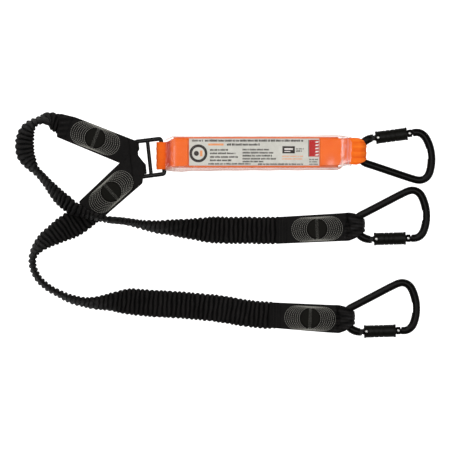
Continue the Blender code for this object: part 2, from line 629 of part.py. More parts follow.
# end tabs round the karabiners
prof = eye_profile(130, H_FLAT, 9.45, 13.0, TAB_T, -13.5, -5.0)
folded_tab("leg_a_end_tab", prof, P(354.1, 225.0, ZC), (1, 0.0),
           [(276.2, 217.0), (346.0, 212.8), (351.0, 217.6), (370, 217.6), (370, 231.8),
            (351.0, 231.8), (346.0, 241.0), (276.2, 243.9)], "black_webbing")
folded_tab("leg_b_end_tab", prof, P(344.1, 317.5, ZC), (1, 0.0),
           [(270.0, 302.2), (336.5, 305.0), (341.0, 310.4), (360, 310.4), (360, 324.6),
            (341.0, 324.6), (336.5, 333.2), (270.0, 327.8)], "black_webbing")

Z_TH = TAB_TOP + 0.55
dir_a = unit((61.0, 125.7), (130.0, 152.2))
dir_b = unit((88.0, 213.0), (137.0, 168.5))
stitching("leg_a_bracket_stitching", (95.2, 138.2), dir_a, 34.6, 15.4, Z_TH)
stitching("leg_b_bracket_stitching", (111.1, 191.8), dir_b, 34.6, 15.4, Z_TH)
stitching("leg_a_end_stitching", (317.1, 229.0), unit((280, 230.5), (350, 227.0)), 34.6, 15.4, Z_TH)
stitching("leg_b_end_stitching", (310.1, 318.3), unit((275, 315.5), (345, 319.3)), 34.6, 15.4, Z_TH)

for ob in list(CUT.objects):
    bpy.data.objects.remove(ob, do_unlink=True)
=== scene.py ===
"""Looks for a shock absorbing lanyard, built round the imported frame. Metres, +Z up.

The lanyard lies flat in the XY plane. The three karabiners are at the +X side, the harness one
at +Y and those of leg A and leg B below it. The absorber runs along X from the harness
karabiner to the connector bracket. From there the two ruched legs turn round at the -X side
and run back in +X.
"""
import bpy
import bmesh
import json
import math
import numpy as np
from mathutils import Matrix, Vector


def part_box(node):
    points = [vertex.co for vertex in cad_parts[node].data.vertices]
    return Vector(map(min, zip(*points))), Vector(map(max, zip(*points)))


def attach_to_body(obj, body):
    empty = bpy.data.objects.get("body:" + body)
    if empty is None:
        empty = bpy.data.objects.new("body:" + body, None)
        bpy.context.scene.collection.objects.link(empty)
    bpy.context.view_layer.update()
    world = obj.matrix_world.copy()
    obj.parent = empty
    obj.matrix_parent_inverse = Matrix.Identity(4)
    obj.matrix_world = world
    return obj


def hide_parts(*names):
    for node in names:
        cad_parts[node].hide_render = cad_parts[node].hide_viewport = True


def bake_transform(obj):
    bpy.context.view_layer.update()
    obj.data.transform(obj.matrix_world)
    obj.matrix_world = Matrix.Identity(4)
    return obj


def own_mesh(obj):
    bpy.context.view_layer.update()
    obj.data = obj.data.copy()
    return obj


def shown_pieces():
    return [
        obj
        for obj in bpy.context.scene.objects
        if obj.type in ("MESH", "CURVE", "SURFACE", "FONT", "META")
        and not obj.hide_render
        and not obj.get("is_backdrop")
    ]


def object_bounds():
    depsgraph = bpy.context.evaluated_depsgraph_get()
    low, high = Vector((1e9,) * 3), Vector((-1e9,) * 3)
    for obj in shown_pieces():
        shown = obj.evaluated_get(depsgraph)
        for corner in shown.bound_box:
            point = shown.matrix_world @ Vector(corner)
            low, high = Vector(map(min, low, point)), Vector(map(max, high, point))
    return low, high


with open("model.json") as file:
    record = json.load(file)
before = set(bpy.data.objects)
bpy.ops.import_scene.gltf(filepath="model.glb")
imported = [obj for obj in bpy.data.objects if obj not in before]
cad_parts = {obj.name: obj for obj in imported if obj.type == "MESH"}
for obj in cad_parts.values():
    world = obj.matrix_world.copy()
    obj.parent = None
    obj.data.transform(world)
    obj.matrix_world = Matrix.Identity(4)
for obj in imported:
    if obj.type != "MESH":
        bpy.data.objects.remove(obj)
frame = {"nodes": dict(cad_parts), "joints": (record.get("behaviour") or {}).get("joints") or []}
FRAME_LO, FRAME_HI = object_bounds()
JOINTS = {j["name"]: j for j in frame["joints"]}
NODES = frame["nodes"]
MM = 1e-3

# ---------------------------------------------------------------- drafting sheet
# Plan outlines are drawn on a square sheet with x along +X and y along -Y. Its unit and origin
# come from two gate hinges, whose places on the sheet and in the frame are both known.
# Heights are in mm, with the mid-plane of the straps at MID_HEIGHT.
SHEET_SIDE = 450
HARNESS_HINGE = (378.2, 137.5)
LEG_B_HINGE_Y = 331.5
MID_HEIGHT = 12.5

harness_pos = JOINTS["harness_gate_open"]["pos_m"]
leg_b_pos = JOINTS["leg_b_gate_open"]["pos_m"]
UNIT = (harness_pos[1] - leg_b_pos[1]) / (LEG_B_HINGE_Y - HARNESS_HINGE[1])   # metres
UNIT_MM = UNIT / MM
ORIGIN_X = HARNESS_HINGE[0] - harness_pos[0] / UNIT
ORIGIN_Y = HARNESS_HINGE[1] + harness_pos[1] / UNIT
MID_Z = harness_pos[2]


def place(x, y, height=MID_HEIGHT):
    """Sheet position and height in mm, as a point (or array of points) in the frame."""
    parts = ((x - ORIGIN_X) * UNIT, (ORIGIN_Y - y) * UNIT, MID_Z + (height - MID_HEIGHT) * MM)
    return np.stack(np.broadcast_arrays(*parts), -1)


def sheet_xy(points):
    """Sheet x and y of frame points."""
    return points[..., 0] / UNIT + ORIGIN_X, ORIGIN_Y - points[..., 1] / UNIT


# ---------------------------------------------------------------- shader graphs
class Graph:
    """A node tree with short calls to add nodes; input values may be numbers or sockets."""

    def __init__(self, tree):
        self.tree = tree

    def feed(self, node, inputs):
        for key, value in inputs.items():
            if isinstance(value, bpy.types.NodeSocket):
                self.tree.links.new(value, node.inputs[key])
            else:
                node.inputs[key].default_value = value

    def node(self, kind, inputs=None):
        node = self.tree.nodes.new("ShaderNode" + kind)
        self.feed(node, inputs or {})
        return node

    def calc(self, operation, *values):
        node = self.node("Math")
        node.operation = operation
        self.feed(node, dict(enumerate(values)))
        return node.outputs[0]

    def attribute(self, name):
        node = self.node("Attribute")
        node.attribute_name = name
        return node.outputs["Fac"]

    def ramp(self, factor, stops):
        node = self.node("ValToRGB", {0: factor})
        elements = node.color_ramp.elements
        while len(elements) < len(stops):
            elements.new(0.5)
        for element, (position, colour) in zip(elements, stops):
            element.position = position
            element.color = (*colour, 1.0)
        return node.outputs[0]


def new_material(name):
    """A material with its graph and its Principled node."""
    material = bpy.data.materials.new(name)
    material.use_nodes = True
    return material, Graph(material.node_tree), material.node_tree.nodes["Principled BSDF"]


def weave(g, warp_mm, weft_mm):
    """Over-and-under height field from the strap's own coordinates (UV in metres)."""
    uv = g.node("UVMap")
    split = g.node("SeparateXYZ", {0: uv.outputs[0]})
    across = g.calc("MULTIPLY", split.outputs[0], 2 * math.pi / (warp_mm * MM))
    along = g.calc("MULTIPLY", split.outputs[1], 2 * math.pi / (weft_mm * MM))
    yarn, turn = (g.calc(operation, g.calc("SINE", g.calc("MULTIPLY", across, 0.5)))
                  for operation in ("ABSOLUTE", "SIGN"))
    quarter = g.calc("MULTIPLY", turn, 1.571)       # neighbouring yarns are out of step
    cross = g.calc("SINE", g.calc("ADD", along, quarter))
    return g.calc("ADD", yarn, g.calc("MULTIPLY", cross, 0.45))


def fabric(name, dark, light, *, rough, warp_mm, weft_mm, bump, spec, wear,
           sheen=0.0, rib_shade_and_highlight=False, crease=None):
    """Woven cloth. wear is the share of noise in the tone; crease holds the two end colours of its
    painted shade and painted highlight.
    """
    material, g, bsdf = new_material(name)
    height = weave(g, warp_mm, weft_mm)
    noise = g.node("TexNoise", {"Scale": 60.0, "Detail": 4.0,
                                "Vector": g.node("TexCoord").outputs["Object"]})
    tone = g.calc("ADD", g.calc("MULTIPLY", height, 0.45 * (1 - wear)),
                  g.calc("MULTIPLY", noise.outputs[0], wear))
    if rib_shade_and_highlight:                          # painted shade in the valleys between ribs and painted highlight on their crests
        shade = g.calc("ADD", g.calc("MULTIPLY", g.attribute("rib"), 1.75), -0.30)
        tone = g.calc("MULTIPLY", tone, shade)
    stops = [(0.15, dark), (0.75, light)]
    if crease:                          # painted shade and painted highlight where a strap bunches
        base = g.calc("ADD", g.calc("MULTIPLY", tone, 0.6), 0.2)
        tone = g.calc("ADD", base, g.attribute("crease"))
        stops = [(0.0, crease[0]), (0.29, dark), (0.65, light), (1.0, crease[1])]
    relief = g.node("Bump", {"Strength": bump, "Distance": 0.0004, "Height": height})
    g.feed(bsdf, {
        "Base Color": g.ramp(tone, stops), "Normal": relief.outputs[0], "Roughness": rough,
        "Specular IOR Level": spec, "Sheen Weight": sheen, "Sheen Roughness": 0.5,
        "Sheen Tint": (*light, 1.0)})
    return material


def hard(name, dark, light, *, rough, scale, metal=0.0, spec=0.5, bump_depth=0.00004):
    """Metal, plastic or thread with a fine variation in tone, gloss and surface."""
    material, g, bsdf = new_material(name)
    mapping = g.node("Mapping", {0: g.node("TexCoord").outputs["Object"]})
    noise = g.node("TexNoise", {"Scale": scale, "Detail": 5.0, "Vector": mapping.outputs[0]})
    noise = noise.outputs[0]
    gloss = g.calc("ADD", g.calc("MULTIPLY", noise, 0.16), rough - 0.08)
    relief = g.node("Bump", {"Strength": 0.35, "Distance": bump_depth, "Height": noise})
    g.feed(bsdf, {
        "Base Color": g.ramp(noise, [(0.3, dark), (0.7, light)]), "Roughness": gloss,
        "Normal": relief.outputs[0], "Metallic": metal, "Specular IOR Level": spec,
        "Coat Roughness": 0.12})
    return material


def clear_film(name):
    """Limp clear plastic: glossy and see-through, milky where it bunches, with painted shade and
    painted highlights, and a painted glow of the webbing's colour where it turns down past it."""
    material, g, bsdf = new_material(name)
    clear = g.node("BsdfTransparent", {0: (1.0, 0.980, 0.972, 1.0)})
    gloss = g.node("BsdfGlossy", {"Color": (1.0, 0.97, 0.96, 1.0), "Roughness": 0.14})
    # milky film with painted shade and painted highlight, tinted by a painted glow of the
    # webbing's colour
    haze, glow = g.attribute("haze"), g.attribute("glow")
    tint = g.ramp(glow, [(0.0, (0.92, 0.74, 0.68)), (0.5, (0.80, 0.46, 0.36)),
                         (1.0, (0.68, 0.29, 0.19))])
    milk = g.node("BsdfDiffuse", {0: tint})
    mapping = g.node("Mapping", {"Scale": (0.35, 1.0, 1.0),
                                 0: g.node("TexCoord").outputs["Object"]})
    noise = g.node("TexNoise", {"Scale": 130.0, "Detail": 2.0, "Vector": mapping.outputs[0]})
    relief = g.node("Bump", {"Strength": 0.5, "Distance": 0.0012, "Height": noise.outputs[0]})
    for shader in (gloss, milk):
        g.feed(shader, {"Normal": relief.outputs[0]})
    facing = g.node("LayerWeight", {"Blend": 0.32}).outputs["Facing"]
    rim = g.calc("POWER", facing, 1.6)
    solid = g.node("MixShader", {0: 0.22, 1: milk.outputs[0], 2: gloss.outputs[0]})
    mottle = g.calc("ADD", g.calc("MULTIPLY", noise.outputs[0], 0.7), 0.65)
    haze = g.calc("MULTIPLY", haze, mottle)
    cover = g.calc("ADD", g.calc("MULTIPLY", rim, 0.45), g.calc("ADD", haze, 0.012))
    mix = g.node("MixShader", {0: g.calc("MINIMUM", cover, 0.95), 1: clear.outputs[0],
                               2: solid.outputs[0]})
    g.feed(g.tree.nodes["Material Output"], {"Surface": mix.outputs[0]})
    g.tree.nodes.remove(bsdf)
    return material


MAT = {
    # the elastic gets painted shade in its rib valleys and painted highlight on the crests
    "elastic": fabric("ruched_elastic", (0.0010, 0.0009, 0.0009), (0.0165, 0.0148, 0.0142),
                      rough=0.55, warp_mm=1.1, weft_mm=0.8, bump=0.6, sheen=0.02, spec=0.11,
                      wear=0.45, rib_shade_and_highlight=True),
    # the webbing's crease colours are painted shade and a bluish painted highlight
    "webbing": fabric("black_webbing", (0.0024, 0.0020, 0.0019), (0.0085, 0.0073, 0.0069),
                      rough=0.60, warp_mm=1.5, weft_mm=2.2, bump=0.6, spec=0.13, wear=0.5,
                      crease=((0.0004, 0.0004, 0.0005), (0.034, 0.036, 0.041))),
    "cord": fabric("cord_cover", (0.30, 0.26, 0.20), (0.50, 0.45, 0.38),
                   rough=0.8, warp_mm=0.8, weft_mm=0.9, bump=0.5, spec=0.3, wear=0.4),
    # the orange's crease colours are painted shade and painted highlight
    "orange": fabric("orange_webbing", (0.84, 0.115, 0.008), (1.0, 0.215, 0.020),
                     rough=0.75, warp_mm=1.5, weft_mm=2.0, bump=0.55, sheen=0.05, spec=0.1,
                     wear=0.45, crease=((0.50, 0.030, 0.006), (1.0, 0.30, 0.045))),
    "thread": hard("pale_thread", (0.200, 0.196, 0.174), (0.35, 0.342, 0.305),
                   rough=0.7, scale=900, spec=0.2),
    "tack": hard("tack_thread", (0.105, 0.103, 0.092), (0.175, 0.171, 0.154),
                 rough=0.8, scale=700, spec=0.1),
    "disc": hard("disc_weave", (0.0040, 0.0038, 0.0028), (0.0080, 0.0074, 0.0056),
                 rough=0.75, scale=900, spec=0.09, bump_depth=0.0002),
    "anodised": hard("black_anodised", (0.0013, 0.0011, 0.0009), (0.0030, 0.0026, 0.0021),
                     rough=0.30, scale=260, spec=0.10),
    "sleeve": hard("sleeve_anodised", (0.0024, 0.0024, 0.0017), (0.0060, 0.0058, 0.0043),
                   rough=0.40, scale=420, spec=0.11),
    "steel": hard("rivet_steel", (0.36, 0.355, 0.34), (0.60, 0.59, 0.57),
                  rough=0.34, metal=1.0, scale=500),
    "spring": hard("spring_steel", (0.34, 0.34, 0.34), (0.52, 0.52, 0.52),
                   rough=0.35, metal=1.0, scale=500),
    "bracket": hard("bracket_black", (0.0022, 0.0021, 0.0020), (0.0048, 0.0046, 0.0044),
                    rough=0.28, scale=200, spec=0.18),
    "label": hard("label_film", (0.53, 0.55, 0.505), (0.62, 0.64, 0.595),
                  rough=0.5, scale=90, spec=0.2),
    "ink": hard("print_dark", (0.010, 0.010, 0.009), (0.030, 0.029, 0.026),
                rough=0.6, scale=300, spec=0.2),
    "ink_soft": hard("print_grey", (0.045, 0.045, 0.040), (0.10, 0.098, 0.09),
                     rough=0.6, scale=300, spec=0.2),
    "ink_red": hard("print_red", (0.40, 0.004, 0.006), (0.50, 0.009, 0.010),
                    rough=0.55, scale=200, spec=0.12),
    "ink_orange": hard("print_orange", (0.72, 0.27, 0.10), (0.80, 0.36, 0.15),
                       rough=0.6, scale=200, spec=0.3),
    "ink_white": hard("print_white", (0.72, 0.71, 0.68), (0.80, 0.79, 0.77),
                      rough=0.6, scale=200, spec=0.3),
    "film": clear_film("clear_film"),
}


# ---------------------------------------------------------------- mesh helpers
def add_object(name, verts, faces, mats, uvs=None, mat_index=None, smooth=True):
    mesh = bpy.data.meshes.new(name)
    mesh.from_pydata([tuple(v) for v in verts], [], [tuple(f) for f in faces])
    mesh.update()
    if uvs is not None:
        layer = mesh.uv_layers.new(name="UVMap")
        layer.data.foreach_set("uv", np.asarray(uvs, np.float32).ravel())
    ob = bpy.data.objects.new(name, mesh)
    bpy.context.scene.collection.objects.link(ob)
    for mat in (mats if isinstance(mats, list) else [mats]):
        mesh.materials.append(mat)
    if mat_index is not None:
        mesh.polygons.foreach_set("material_index", mat_index)
    if smooth:
        mesh.polygons.foreach_set("use_smooth", [True] * len(mesh.polygons))
    return ob


def fix_normals(ob):
    bm = bmesh.new()
    bm.from_mesh(ob.data)
    bmesh.ops.recalc_face_normals(bm, faces=bm.faces[:])
    bm.to_mesh(ob.data)
    bm.free()
    return ob


def solid(*args, **options):
    """add_object with its normals turned outward."""
    return fix_normals(add_object(*args, **options))


def point_attribute(ob, name, values):
    layer = ob.data.attributes.new(name, "FLOAT", "POINT")
    layer.data.foreach_set("value", values.ravel().astype(np.float32))


def show(ob, body, slot, *replaced):
    """Let a piece ride on a body, standing for the replaced CAD nodes; slot is not used."""
    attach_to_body(ob, body)
    if replaced:
        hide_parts(*replaced)


def tube_grid(grid, uv=None, caps=True):
    """Skin over rows of closed loops (rows, points, 3), with uv = (across + 1, along).
    Returns verts, faces and one UV per face corner."""
    rows, count = grid.shape[:2]
    i = np.arange(rows - 1)[:, None]
    j = np.arange(count)[None, :]
    after = (j + 1) % count
    quads = np.stack([i * count + j, i * count + after,
                      (i + 1) * count + after, (i + 1) * count + j], -1)
    faces = [list(q) for q in quads.reshape(-1, 4)]
    uvs = None
    if uv is not None:
        us, vs = uv
        corner_u = np.stack([us[:-1], us[1:], us[1:], us[:-1]], -1)[None, :]
        corner_v = np.stack([vs[:-1], vs[:-1], vs[1:], vs[1:]], -1)[:, None]
        uvs = list(np.stack(np.broadcast_arrays(corner_u, corner_v), -1).reshape(-1, 2))
    if caps:
        faces.append(list(range(count))[::-1])
        faces.append(list(range((rows - 1) * count, rows * count)))
        if uvs is not None:
            uvs += [(us[k], vs[0]) for k in range(count)][::-1]
            uvs += [(us[k], vs[-1]) for k in range(count)]
    return grid.reshape(-1, 3), faces, uvs


def running_length(points):
    """Distance along a polyline at each of its points."""
    steps = np.linalg.norm(np.diff(points, axis=0), axis=1)
    return np.concatenate([[0], np.cumsum(steps)])


def resample(points, dist, wanted):
    return np.stack([np.interp(wanted, dist, column) for column in points.T], 1)


def catmull(points, step):
    """Points every step along a Catmull-Rom curve, and their distances. Up to the first three
    columns are the position; any others are carried along."""
    p = np.array(points, float)
    padded = np.vstack([2 * p[0] - p[1], p, 2 * p[-1] - p[-2]])
    t = np.linspace(0, 1, 40, endpoint=False)[:, None]
    fine = []
    for a, b, c, d in zip(padded, padded[1:], padded[2:], padded[3:]):
        fine.append(0.5 * ((2 * b) + (-a + c) * t + (2 * a - 5 * b + 4 * c - d) * t * t
                           + (-a + 3 * b - 3 * c + d) * t ** 3))
    fine = np.vstack(fine + [p[-1:]])
    dist = running_length(fine[:, :3])
    wanted = np.linspace(0, dist[-1], max(3, int(round(dist[-1] / step)) + 1))
    return resample(fine, dist, wanted), wanted


def unit(a):
    a = np.asarray(a, float)
    return a / np.linalg.norm(a, axis=-1, keepdims=True)


def side_and_up(tangent):
    """Level side direction and up direction square to each tangent."""
    side = unit(np.cross(tangent, [0, 0, 1.0]))
    return side, np.cross(side, tangent)


def bar_along(path, radius, seg=20, closed=False):
    """Round bar along a path, as verts and faces; radius may be given for each point."""
    path = np.array(path, float)
    if closed:
        ring = np.vstack([path[-1:], path, path[:1]])
        tangent = unit(ring[2:] - ring[:-2])
    else:
        tangent = unit(np.gradient(path, axis=0))
    side, up = side_and_up(tangent)
    turn = np.linspace(0, 2 * np.pi, seg, endpoint=False)[None, :, None]
    radii = np.broadcast_to(np.asarray(radius, float), (len(path),))[:, None, None]
    grid = path[:, None] + radii * (np.cos(turn) * side[:, None] + np.sin(turn) * up[:, None])
    if closed:
        grid = np.vstack([grid, grid[:1]])
    return tube_grid(grid, caps=not closed)[:2]


def lathe(profile, seg):
    """Closed (along, radius) profile in mm turned about the X axis, as verts and faces."""
    along, radius = np.array(profile, float).T * MM
    turn = np.linspace(0, 2 * np.pi, seg, endpoint=False)[:, None]
    grid = np.stack([np.broadcast_to(along, (seg, len(along))),
                     radius * np.cos(turn), radius * np.sin(turn)], -1)
    count = len(along)
    faces = []
    for i in range(seg):
        for j in range(count):
            row, row_after, after = i * count, (i + 1) % seg * count, (j + 1) % count
            faces.append([row + j, row + after, row_after + after, row_after + j])
    return grid.reshape(-1, 3), faces


def merge(parts):
    """Several (verts, faces) as one."""
    verts, faces, start = [], [], 0
    for part_verts, part_faces in parts:
        verts.append(np.asarray(part_verts, float))
        faces += [[i + start for i in face] for face in part_faces]
        start += len(part_verts)
    return np.vstack(verts), faces


def two_rims(top, bottom):
    """Closed solid between two matching outlines, as verts and faces."""
    n = len(top)
    walls = [[i, n + i, n + (i + 1) % n, (i + 1) % n] for i in range(n)]
    return top + bottom, [list(range(n)), list(range(n, 2 * n))[::-1]] + walls


def box(lo, hi):
    """Box between two corners in mm."""
    (x0, y0, z0), (x1, y1, z1) = lo, hi
    verts = [(x, y, z) for z in (z0, z1) for x, y in ((x0, y0), (x1, y0), (x1, y1), (x0, y1))]
    return np.array(verts) * MM, [[0, 3, 2, 1], [4, 5, 6, 7], [0, 1, 5, 4], [1, 2, 6, 5],
                                  [2, 3, 7, 6], [3, 0, 4, 7]]


def prism(points, half_thick):
    """Plate with an (x, y) outline in mm, centred on z = 0."""
    return two_rims([(x * MM, y * MM, half_thick * MM) for x, y in points],
                    [(x * MM, y * MM, -half_thick * MM) for x, y in points])


def boolean(ob, part, operation="DIFFERENCE"):
    """Boolean with a loose (verts, faces) tool, applied."""
    tool = solid("tool", *part, MAT["steel"], smooth=False)
    modifier = ob.modifiers.new("b", "BOOLEAN")
    modifier.operation, modifier.solver, modifier.object = operation, "EXACT", tool
    bpy.context.view_layer.update()
    depsgraph = bpy.context.evaluated_depsgraph_get()
    mesh = bpy.data.meshes.new_from_object(ob.evaluated_get(depsgraph))
    ob.modifiers.clear()
    ob.data = mesh
    bpy.data.objects.remove(tool, do_unlink=True)


def squircle(count, power_x, power_y):
    """Unit closed section, boxier as the powers fall below 1."""
    turn = np.linspace(0, 2 * np.pi, count, endpoint=False)
    return tuple(np.sign(c) * np.abs(c) ** power
                 for c, power in ((np.cos(turn), power_x), (np.sin(turn), power_y)))


def strap_section(centre, half_flat, edge, half_thick, cols):
    """Section of a flat strap with rounded edges: positions across and through it."""
    flat = centre + np.linspace(-1, 1, cols) * half_flat
    turn = np.linspace(math.pi / 2, -math.pi / 2, 7)[1:-1]
    back = turn[::-1]
    across = np.concatenate([flat, centre + half_flat + edge * np.cos(turn), flat[::-1],
                             centre - half_flat - edge * np.cos(back)])
    through = np.concatenate([np.full(cols, half_thick), half_thick * np.sin(turn),
                              np.full(cols, -half_thick), half_thick * np.sin(back)])
    return across, through


def hump(x, centre, width):
    return np.exp(-((x - centre) / width) ** 2)


# ---------------------------------------------------------------- ruched elastic legs
# Stations: sheet x, sheet y, height mm, tilt about the path in degrees, width factor.
# The first and last stations are inside the webbing tabs.
LEG_A_PATH = [
    (69.0, 128.4, 12.5, 0, 0.84), (60.4, 124.4, 12.5, 0, 0.70), (56.4, 122.7, 12.8, 12, 0.70),
    (52.2, 121.1, 14.2, 34, 0.74), (48.2, 120.0, 16.6, 56, 0.85), (43.8, 119.9, 19.4, 74, 0.98),
    (38.2, 120.8, 20.2, 80, 1), (33.0, 123.8, 20.2, 74, 1), (28.5, 128.9, 20.0, 62, 1),
    (25.5, 136.0, 20.0, 52, 1), (24.5, 144.5, 20.0, 49, 1), (25.7, 153.5, 20.0, 50, 1),
    (29.5, 161.6, 20.4, 60, 1), (34.7, 169.0, 21.5, 75, 1), (41.4, 176.2, 23.5, 79, 1),
    (49.6, 186.0, 28.0, 74, 1), (57.6, 195.6, 32.5, 63, 1), (66.0, 202.4, 36.0, 60, 1),
    (74.5, 208.8, 38.2, 66, 1), (84.5, 213.4, 38.2, 76, 1), (95.0, 216.9, 38.0, 83, 1),
    (103.5, 218.8, 37.8, 87, 1), (109.5, 219.8, 37.4, 89, 1), (116.0, 220.4, 33.4, 89, 1),
    (123.0, 221.0, 27.6, 88, 1), (131.0, 222.2, 22.8, 84, 1), (139.0, 224.0, 20.6, 78, 1),
    (148.0, 225.6, 20.0, 71, 1), (160.0, 227.0, 19.6, 64, 1), (174.0, 227.8, 18.9, 55, 1),
    (188.0, 228.6, 17.6, 44, 1), (201.0, 229.3, 15.6, 30, 1), (212.0, 229.8, 13.3, 13, 1),
    (219.0, 230.0, 12.5, 0, 1), (226.0, 230.2, 12.5, 0, 1), (240.0, 230.4, 12.5, 0, 1),
    (257.0, 230.5, 12.5, 0, 1), (275.0, 230.4, 12.5, 0, 1), (283.0, 230.3, 12.5, 0, 0.93)]
LEG_B_PATH = [
    (96.5, 205.5, 12.5, 0, 0.95), (87.4, 213.5, 12.5, 0, 1), (81.6, 218.0, 12.0, 0, 1),
    (73.6, 223.4, 11.2, 4, 1), (65.8, 228.0, 12.4, 19, 1), (56.4, 233.5, 15.6, 38, 1),
    (46.8, 239.6, 18.6, 51, 1), (38.6, 246.9, 20.1, 67, 1), (33.6, 254.4, 20.2, 80, 1),
    (32.6, 263.0, 20.2, 84, 1), (34.6, 271.6, 20.2, 84, 1), (39.4, 279.7, 20.2, 84, 1),
    (47.2, 286.7, 20.2, 84, 1), (57.7, 292.9, 20.2, 83, 1), (70.0, 298.6, 20.2, 79, 1),
    (83.2, 302.1, 20.0, 74, 1), (95.5, 302.8, 19.6, 66, 1), (106.0, 302.4, 18.6, 56, 1),
    (115.5, 301.7, 16.8, 44, 1), (123.5, 301.4, 14.5, 28, 1), (131.0, 301.7, 12.9, 12, 1),
    (140.0, 302.4, 12.5, 0, 1), (158.0, 303.8, 12.5, 0, 1), (180.0, 305.2, 12.5, 0, 1),
    (205.0, 307.2, 12.5, 0, 1), (225.0, 309.7, 12.5, 0, 1), (245.0, 312.9, 12.5, 0, 1),
    (256.0, 314.3, 12.5, 0, 1), (268.6, 315.2, 12.5, 0, 1), (277.0, 315.6, 12.5, 0, 0.93)]
RIB_PITCH = 6.7 * MM
RIB_DEPTH = 3.2                             # mm
LEG_HALF_WIDTH, LEG_HALF_THICK = 19.4, 5.4  # mm
MIN_HALF_THICK = 1.1                        # mm
FLATTEN_OVER = 11                           # mm of leg over which it swells out of a tab
END_FLAT = 7                                # mm held flat at the karabiner end
LEG_STEP = 0.52 * MM
CORD_RADIUS = 1.0 * MM
CORD_EVERY = 8                              # leg rows per cord row
leg_random = np.random.RandomState(11)


def ruched_surface(path, dist, start_flat):
    """Loops of a ruched tube, how far each point stands up its rib, and its UV columns."""
    flat = np.minimum(np.clip((dist - start_flat * MM) / (FLATTEN_OVER * MM), 0, 1),
                      np.clip((dist[-1] - END_FLAT * MM - dist) / (FLATTEN_OVER * MM), 0, 1))
    flat = (0.36 + 0.64 * flat ** 0.7)[:, None]
    cx, cy = squircle(56, 0.80, 0.86)
    rib_count = int(dist[-1] / RIB_PITCH) + 3
    # each rib has its own depth, sideways swell, lean and shift
    per_rib = (0.75 + 0.45 * leg_random.rand(rib_count), leg_random.randn(rib_count) * 0.55,
               leg_random.randn(rib_count) * 0.30, leg_random.randn(rib_count) * 0.16)
    rib_at = dist / RIB_PITCH
    depth, swell, lean, shift = (np.interp(rib_at, np.arange(rib_count), values)[:, None]
                                 for values in per_rib)
    rib_at = rib_at[:, None]
    phase = (2 * np.pi * rib_at + shift * 2 + lean * cx * 1.3
             + 0.35 * np.sin(cx * 5.0 + rib_at * 1.7))
    rib = np.abs(np.cos(phase / 2)) ** 0.75
    valley = 1 - rib
    wave = 0.5 + 0.5 * np.cos(2 * phase + 1.0 + cx * 2.0)
    half_thick = (LEG_HALF_THICK * flat - RIB_DEPTH * depth * valley * (0.45 + 0.55 * flat)
                  - 0.16 * wave * flat)
    half_thick = np.maximum(half_thick, MIN_HALF_THICK)
    half_width = LEG_HALF_WIDTH + 0.75 - 2.35 * depth * valley + swell * 0.35 * np.sign(cx)
    buckle = 0.28 * flat * np.sin(cx * 7 + rib_at * 0.9)
    across = cx * half_width * path[:, 4:5] * MM
    through = (cy * half_thick + buckle) * MM
    side, up = side_and_up(unit(np.gradient(path[:, :3], axis=0)))
    cos, sin = np.cos(path[:, 3:4]), np.sin(path[:, 3:4])
    side, up = cos * side - sin * up, cos * up + sin * side
    grid = path[:, None, :3] + across[..., None] * side[:, None] + through[..., None] * up[:, None]
    grid[..., 2] = np.maximum(grid[..., 2], 0.0002)
    around = running_length(np.column_stack([cx * LEG_HALF_WIDTH, cy * LEG_HALF_THICK]))
    return grid, rib, np.concatenate([around, [around[-1] + 0.9]]) * MM


def elastic_leg(leg, stations, start_flat):
    """Ruched tube and its cord, each in three pieces that meet where the frame's nodes meet."""
    rows = [(*place(x, y, height), math.radians(tilt), width)
            for x, y, height, tilt, width in stations]
    path, dist = catmull(rows, LEG_STEP)
    grid, rib, us = ruched_surface(path, dist, start_flat)
    stretch = JOINTS[leg + "_stretch"]
    cut_x = (stretch["deforming_nodes"][0]["fixed_end_x_m"], JOINTS[leg + "_flex"]["pos_m"][0])
    # the cuts lie on the run back in +X, past the first third of the leg
    third = len(dist) // 3
    cuts = [third + int(np.argmin(np.abs(path[third:, 0] - x))) for x in cut_x]

    def attach(ob, part, kind, slot):
        node = f"{leg}_{kind}_{part}"
        if part == "bend":
            show(ob, leg + "_root", slot, node)
            return
        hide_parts(node)
        if part == "run":
            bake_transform(ob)
        else:
            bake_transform(ob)

    parts = ("bend", "run", "end")
    bounds = [0, *cuts, len(dist) - 1]
    for part, first, last in zip(parts, bounds, bounds[1:]):
        rows = slice(first, last + 1)
        ob = add_object(f"{leg}_ruched_{part}", *tube_grid(grid[rows], (us, dist[rows]))[:2],
                        MAT["elastic"], tube_grid(grid[rows], (us, dist[rows]))[2])
        # the rib height drives the elastic's painted shade and painted highlight
        point_attribute(ob, "rib", rib[rows])
        attach(fix_normals(ob), part, "sleeve", "leg_elastic")

    cord = path[::CORD_EVERY, :3]
    bounds = [0, *(int(round(cut / CORD_EVERY)) for cut in cuts), len(cord) - 1]
    for part, first, last in zip(parts, bounds, bounds[1:]):
        verts, faces = bar_along(cord[first:last + 1], CORD_RADIUS, 10)
        uvs = [(0.0, 0.0)] * sum(len(face) for face in faces)
        ob = solid(f"{leg}_cord_{part}", verts, faces, MAT["cord"], uvs)
        attach(ob, part, "core", "elastic_core")


elastic_leg("leg_a", LEG_A_PATH, start_flat=11.0)
elastic_leg("leg_b", LEG_B_PATH, start_flat=13.0)


# ---------------------------------------------------------------- folded straps
def outline_span(outline, origin, across):
    """Where a line cuts a plan outline: lowest and highest distance along it, or None."""
    normal = np.array([-across[1], across[0]])
    hits = []
    for a, b in zip(outline, np.roll(outline, -1, axis=0)):
        da, db = np.dot(a - origin, normal), np.dot(b - origin, normal)
        if (da <= 0 < db) or (db <= 0 < da):
            crossing = a + (b - a) * (da / (da - db))
            hits.append(float(np.dot(crossing - origin, across)))
    return (min(hits), max(hits)) if len(hits) >= 2 else None


def rounded_corner(before, corner, after, start_cut, end_cut, count):
    """Quadratic curve that cuts a corner, starting and ending the given distances from it."""
    start = corner + unit(before - corner) * start_cut
    end = corner + unit(after - corner) * end_cut
    return [(1 - t) ** 2 * start + 2 * t * (1 - t) * corner + t * t * end
            for t in np.linspace(0, 1, count)]


